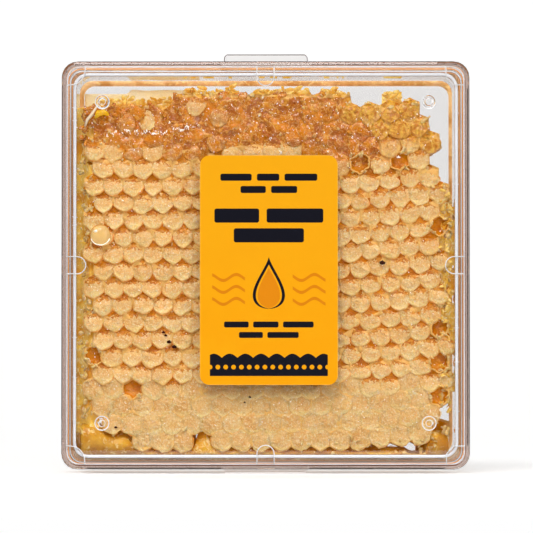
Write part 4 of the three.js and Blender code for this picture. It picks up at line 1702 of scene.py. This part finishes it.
def smear(name, columns, rows, place_of, thickness, material, shown):
    """A thin lumpy sheet.

    place_of(u, v) gives a point for shares from 0 to 1, and shown(u, v) tells if it is there.
    """
    sheet = Builder()
    grid = {}
    for i in range(columns + 1):
        for j in range(rows + 1):
            x, y, z = place_of(i / columns, j / rows)
            grid[i, j] = ((x, y, z), (x, y + thickness, z))
    kept = {
        (i, j)
        for i in range(columns)
        for j in range(rows)
        if shown((i + 0.5) / columns, (j + 0.5) / rows)
    }
    for i, j in kept:
        corners = [(i, j), (i + 1, j), (i + 1, j + 1), (i, j + 1)]
        near = [sheet.point(*grid[corner][0]) for corner in corners]
        far = [sheet.point(*grid[corner][1]) for corner in corners]
        sheet.face(*near)
        sheet.face(*reversed(far))
        for side, (di, dj) in enumerate([(0, -1), (1, 0), (0, 1), (-1, 0)]):
            if (i + di, j + dj) not in kept:
                following = (side + 1) % 4
                sheet.face(near[following], near[side], far[side], far[following])
    piece(name, sheet.mesh(name), material)


def side_honey():
    """Torn comb and honey between the comb's sides and the walls."""
    yellow = clear_honey("side_honey", colour(214, 144, 30), colour(242, 194, 84), 0.8, 0.28)

    def across(u, v, smear_at, size, layer):
        """A place on a smear, x and z, and how ragged it is there."""
        x, z = (blend(*ends, share) for ends, share in zip(smear_at, (u, v)))
        return x, z, lump(x, z, size, layer) + 0.6 * lump(x * 2, z * 0.6, 1.6, layer + 1)

    def patchy(u, v, smear_at, size, layer):
        """Smooth noise that tells where a smear has holes."""
        bottom, top = smear_at[1]
        return lump(u * SMEAR_WIDTH, v * (top - bottom), size, layer)

    def left(u, v):
        x, z, ragged = across(u, v, LEFT_SMEAR, 3.2, 21)
        return x, blend(-6, -11, step(u, 0, 0.6)) + 1.4 * ragged, z

    def left_shown(u, v):
        return patchy(u, v, LEFT_SMEAR, 5, 23) > -0.62

    def right(u, v):
        x, z, ragged = across(u, v, RIGHT_SMEAR, 3.4, 31)
        return x, blend(-9, -3, step(u, 0.2, 1)) + 1.6 * ragged, z

    def right_shown(u, v):
        return patchy(u, v, RIGHT_SMEAR, 4, 33) > -0.55 + 0.4 * u + step(v, 0.88, 1)

    smear("left_honey", 16, 190, left, 1.2, yellow, left_shown)
    smear("right_honey", 14, 128, right, 1.2, yellow, right_shown)


def honey_film():
    """A thin film of honey on the inside of the back, over the comb's top edge at the left."""
    cream = clear_honey("honey_film", colour(248, 222, 168), colour(250, 232, 190), 0.2, 0.2)

    def film(u, v):
        x = blend(*FILM_X, u)
        top = FILM_TOP + FILM_STEP_RISE * step(x, *FILM_STEP_X) + 0.35 * lump(x, 0, 5, 41)
        return x, BACK_INNER_Y - 0.22 + 0.05 * lump(x, v, 2, 42), blend(FILM_FOOT, top, v)

    def shown(u, v):
        return v + 0.5 * lump(u * 32, v * 14, 5, 43) > 0.3 + 0.6 * step(u, 0.75, 1)

    smear("honey_film", 64, 28, film, 0.25, cream, shown)


def top_honey():
    """Yellow honey on the inside of the back, higher behind the scraps on the comb's top edge."""
    yellow = clear_honey("top_honey", colour(232, 178, 50), colour(246, 214, 120), 0.6, 0.35)

    def band(u, v):
        x, z = blend(*TOP_HONEY_X, u), blend(*TOP_HONEY_Z, v)
        return x, BACK_INNER_Y - 0.3 + 0.08 * lump(x, v, 2, 44), z

    def shown(u, v):
        x, z = blend(*TOP_HONEY_X, u), blend(*TOP_HONEY_Z, v)
        outside = min(max(left - x, x - right) for left, right, _, _ in TOP_SCRAPS)
        near = step(-outside, -TOP_HONEY_FADE, 0)
        return z < TOP_HONEY_LOW + TOP_HONEY_RISE * near + 1.2 * lump(x, z, 2, 45)

    smear("top_honey", 122, 14, band, 0.3, yellow, shown)


# ---------------------------------------------------------------- small things

# Dark specks on the caps: x, z and size
SPECKS = [
    (-27.4, 38.0, 0.8), (-26.8, 37.2, 0.7), (-25.9, 35.4, 1.1), (-24.5, 34.1, 1.1), (-40.2, 12.5, 0.7),
    (31.4, 56.7, 1.4), (-4.2, 20.6, 0.6), (-5.6, 19.2, 0.5),
]

SCUFF_X = 51.3
SCUFFS = 12
PIP_RINGS = ((1.85, 0.16), (0.9, 0.12))  # radius and thickness
SQUARE_CORNER_STEPS = 6


def lug_paths():
    """The outlines of the lugs: at the middle of a side, at a left corner and at a right corner."""
    skirt = -(BOX_HALF - WALL)
    y = FRONT_Y + PANEL + LUG_HEIGHT - 0.1
    half = LUG_WIDTH / 2
    end = ring_of((0, y, skirt + LUG_LENGTH - half), half, (0.5, 0), 10)
    side = [(-half, y, skirt), *end, (half, y, skirt)]
    inside = skirt + CORNER_LUG_SIZE
    middle = inside - CORNER_LUG_ROUND
    bend = ring_of((middle, y, middle), CORNER_LUG_ROUND, (0, 0.25), 6)
    cut = inside - CORNER_LUG_CHAMFER
    chamfer = [(inside, y, cut), (cut, y, inside)]
    corners = [[(inside, y, skirt), *path, (skirt, y, inside)] for path in (bend, chamfer)]
    return side, *corners


def plastic_edges():
    """Painted highlights along the moulded edges of the clear plastic, round the lugs and pips, and small
    pale scuffs on the rim.
    """
    edges = Builder()
    side, left, right = lug_paths()
    for quarter in range(4):
        for path in (side, right if quarter > 1 else left):
            turned = []
            for x, y, z in path:
                for _ in range(quarter):
                    x, z = z, -x
                turned.append((x, y, z + MIDDLE_Z))
            tube(edges, turned, 0.14)
    for pip_x in (-PIP_X, PIP_X):
        for pip_z in (-PIP_Z, PIP_Z):
            middle = (pip_x, FRONT_Y - 0.12, pip_z + PIP_RISE + MIDDLE_Z)
            for radius, thickness in PIP_RINGS:
                tube(edges, ring_of(middle, radius), thickness)
    draw = random.Random(5)
    y = FRONT_Y + RIM_FRONT_GAP - 0.1
    for side_x in (-SCUFF_X, SCUFF_X):
        for _ in range(SCUFFS):
            z, length = within(draw, (12, 100), (0.2, 0.8))
            path = [(side_x - length, y, z), (side_x + length, y, z + draw.uniform(-0.2, 0.2))]
            tube(edges, path, 0.08, 4)
    # One pale, faintly glowing finish for the painted edge highlights and for the scuffs.
    bright = lit("painted_highlights_and_scuffs", (0.9, 0.92, 0.94, 1), 0.05, (1, 1, 1, 1))
    piece("plastic_edges", edges.mesh("plastic_edges"), bright)


def square_outline(half, radius):
    """Points of a square with round corners, x and z."""
    points = []
    for quarter, (side_x, side_z) in enumerate(((1, 1), (-1, 1), (-1, -1), (1, -1))):
        for i in range(SQUARE_CORNER_STEPS + 1):
            angle = (quarter + i / SQUARE_CORNER_STEPS) * math.pi / 2
            x = side_x * (half - radius) + radius * math.cos(angle)
            points.append((x, side_z * (half - radius) + radius * math.sin(angle) + MIDDLE_Z))
    return points


def square_band(name, outer, inner, corner, front, back, material, slot):
    """A thin square ring in the plane of the lid, between two half widths."""
    made = Builder()
    inner_corner = corner - (outer - inner)
    wide, narrow = (outer, corner), (inner, inner_corner)
    rows = []
    for (half, radius), y in ((wide, front), (wide, back), (narrow, back), (narrow, front)):
        rows.append([made.point(x, y, z) for x, z in square_outline(half, radius)])
    for row, following in zip(rows, rows[1:] + rows[:1]):
        made.band(row, following)
    piece(name, made.mesh(name), material)


def seams():
    """Painted lines round the box's edges: white painted highlights on the base's rim, the ledge and the
    skirt, brown, orange and tan lines of painted refraction in the seam, the ledge and the skirt, and honey
    on the walls at the back.
    """
    rim_y = FRONT_Y + RIM_FRONT_GAP
    seam_y = FRONT_Y + LID_DEPTH
    ledge = (seam_y - 0.7, seam_y - 0.6)
    # White bands are painted highlights of the plastic's edges; brown, orange and tan lines are painted
    # refraction of the comb and the dark room through the edges; all of them glow a little.
    white = lit("edge_highlight_white", (0.74, 0.76, 0.8, 1), 0.15)
    brown = lit("edge_brown", colour(140, 96, 66), 0.3)
    orange = lit("edge_orange", colour(226, 150, 74), 0.3)
    tan = lit("edge_tan", colour(196, 140, 96), 0.3)
    crept = clear_honey("wall_honey", colour(204, 150, 84), colour(232, 192, 136), 0.5, 0.3)
    wall = (BACK_INNER_Y - 2.2, BACK_INNER_Y - 0.1)

    # Outer and inner half width, corner, front and back
    square_band("rim_edge", 51.7, 50.9, 4.1, rim_y - 0.1, rim_y - 0.02, white, "base_plastic")
    square_band("wall_honey", 52.5, 50.45, 5, *wall, crept, "honey")
    square_band("seam_honey", 54.1, 53.55, 3.6, seam_y - 0.08, seam_y + 0.08, brown, "honey")
    square_band("ledge_honey", 52.9, 52.6, 3, *ledge, tan, "honey")
    square_band("ledge_edge", 53.35, 53.05, 3.4, *ledge, white, "base_plastic")
    square_band("skirt_honey", 53.42, 53.15, 3.5, rim_y + 6.2, rim_y + 6.4, orange, "honey")
    square_band("skirt_edge", 53.48, 53.25, 3.5, rim_y + 0.2, rim_y + 0.4, white, "lid_plastic")


def tab_edge():
    """A grey line painted round the lid's tab at the top: painted shade for its clear edges seen against
    the white.
    """
    made = Builder()
    y = LID_TAB_FRONT_Y - 0.1
    foot = BOX_HALF + MIDDLE_Z
    top = foot + TAB_HEIGHT - 0.16
    half = TAB_WIDTH / 2
    flared = half + TAB_FLARE
    right = [(flared, foot + 0.1), (half + 0.2, foot + 0.5), (half, top - 0.6), (half - 0.6, top)]
    left = [(-x, z) for x, z in reversed(right)]
    tube(made, [(x, y, z) for x, z in right + left], 0.15)
    tube(made, [(x, y, foot + 0.9) for x in (-half, half)], 0.09)
    grey = lit("painted_edge_shade", (0.36, 0.33, 0.33, 1), 0.1)
    piece("tab_edge", made.mesh("tab_edge"), grey)


def dark_specks():
    """Small dark specks on the caps."""
    made = Builder()
    for x, z, size in SPECKS:
        half = size / 2
        end, front = CAP_Y - 0.05, CAP_Y - 0.2
        path = [(x - half, end, z), (x, front, z + 0.1), (x + half, end, z - 0.1)]
        tube(made, path, [size * 0.25, size * 0.45, size * 0.2], 7)
    looks = {"Base Color": colour(58, 22, 14), "Roughness": 0.9, "Specular IOR Level": 0.1}
    piece("dark_specks", made.mesh("dark_specks"), Finish("speck", **looks).material)


def at_depth(y, *places):
    """Places x and z as points at one depth."""
    return [(x, y, z) for x, z in places]


def wax_threads():
    """A pale thread of wax at the upper left, and a pale hooked one at the lower right whose paleness is
    partly a painted highlight, for a hooked line of glints.
    """
    made = Builder()
    y = CAP_Y - 0.5
    upper = at_depth(y, (-45.4, 98.8), (-46.8, 96.6), (-48, 95.2), (-48.6, 93.4))
    hooked = at_depth(y, (45.2, 15.6), (46.8, 15.0), (47.2, 16.4), (46.6, 17.4))
    tube(made, upper, [0.25, 0.45, 0.4, 0.2])
    tube(made, hooked, 0.15)
    pale = Finish("pale_thread", **{"Base Color": colour(244, 224, 190), "Roughness": 0.3}).material
    piece("wax_threads", made.mesh("wax_threads"), pale)


def yellow_shard():
    """A bright yellow shard of clean wax at the upper left."""
    made = Builder()
    path = at_depth(CAP_Y - 0.7, (-45.9, 95.6), (-44.9, 96.9), (-43.4, 97.2), (-42.2, 96.4))
    tube(made, path, [0.3, 1.0, 0.9, 0.3], 5)
    finish = clear_honey("yellow_shard", colour(252, 186, 6), colour(255, 206, 40), 0.2)
    piece("yellow_shard", made.mesh("yellow_shard"), finish)


BUBBLE_X = -44.4
BUBBLE_Y = FRONT_Y + PANEL + 1.3
BUBBLE_Z = 64.2
BUBBLE_RADIUS = 2.7
BUBBLE_RISE = 1.25
BUBBLE_BACK = 0.6
BUBBLE_LEVELS = 7
BUBBLE_SIDES = 20


def honey_bubble():
    """A clear drop of honey that bridges the comb and the lid at the left."""
    made = Builder()
    angles = [2 * math.pi * i / BUBBLE_SIDES for i in range(BUBBLE_SIDES)]
    rows = []
    for level in range(BUBBLE_LEVELS):
        turn = math.pi / 2 * level / BUBBLE_LEVELS
        y = BUBBLE_Y - BUBBLE_RISE * math.sin(turn)
        row = []
        for angle in angles:
            across, up = math.cos(angle), math.sin(angle)
            reach = BUBBLE_RADIUS * math.cos(turn) * (1 + 0.1 * lump(across, up, 1, 61))
            row.append(made.point(BUBBLE_X + reach * across, y, BUBBLE_Z + reach * up))
        rows.append(row)
    for row, following in zip(rows, rows[1:]):
        made.band(row, following)
    made.fan(rows[-1], made.point(BUBBLE_X, BUBBLE_Y - BUBBLE_RISE, BUBBLE_Z))
    made.fan(rows[0], made.point(BUBBLE_X, BUBBLE_Y + BUBBLE_BACK, BUBBLE_Z))
    looks = {"Transmission Weight": 0.6, "Roughness": 0.02, "IOR": 1.12, "Coat Weight": 1.0}
    # The drop gives off a faint painted glow.
    clear = lit("honey_drop", colour(255, 226, 150), 0.1, (1, 0.8, 0.4, 1), **looks)
    piece("honey_bubble", made.mesh("honey_bubble"), clear)


def bubble_arc(made, y, radius, turns, thickness, tip):
    """Part of a ring round the drop, thin at its ends."""
    arc = ring_of((BUBBLE_X, y, BUBBLE_Z), radius, turns)
    tube(made, arc, [tip] + [thickness] * (len(arc) - 2) + [tip])


def bubble_light():
    """Painted highlights along the drop's lower edge and on its front, which glow, and a painted dark line
    over its top.
    """
    made = Builder()
    bubble_arc(made, BUBBLE_Y - 0.2, 2.65, (0.55, 0.95), 0.22, 0.05)
    front = BUBBLE_Y - 1.2
    glint = [(BUBBLE_X - 1.6, front + 0.3, BUBBLE_Z + 0.9), (BUBBLE_X - 0.8, front, BUBBLE_Z + 1.1)]
    tube(made, glint, [0.3, 0.42])
    shine = lit("bubble_shine", (1, 0.96, 0.86, 1), 0.4, (1, 0.93, 0.76, 1), Roughness=0.1)
    piece("bubble_shine", made.mesh("bubble_shine"), shine)
    dark = Builder()
    bubble_arc(dark, BUBBLE_Y - 0.3, BUBBLE_RADIUS, (0, 0.5), 0.12, 0.04)
    line = lit("drop_outline_shade", colour(208, 144, 56), 0.1)
    piece("bubble_rim", dark.mesh("bubble_rim"), line)


comb()
drained_honey()
side_honey()
honey_film()
top_honey()
plastic_edges()
seams()
tab_edge()
dark_specks()
wax_threads()
yellow_shard()
honey_bubble()
bubble_light()
dress("label", label_print())
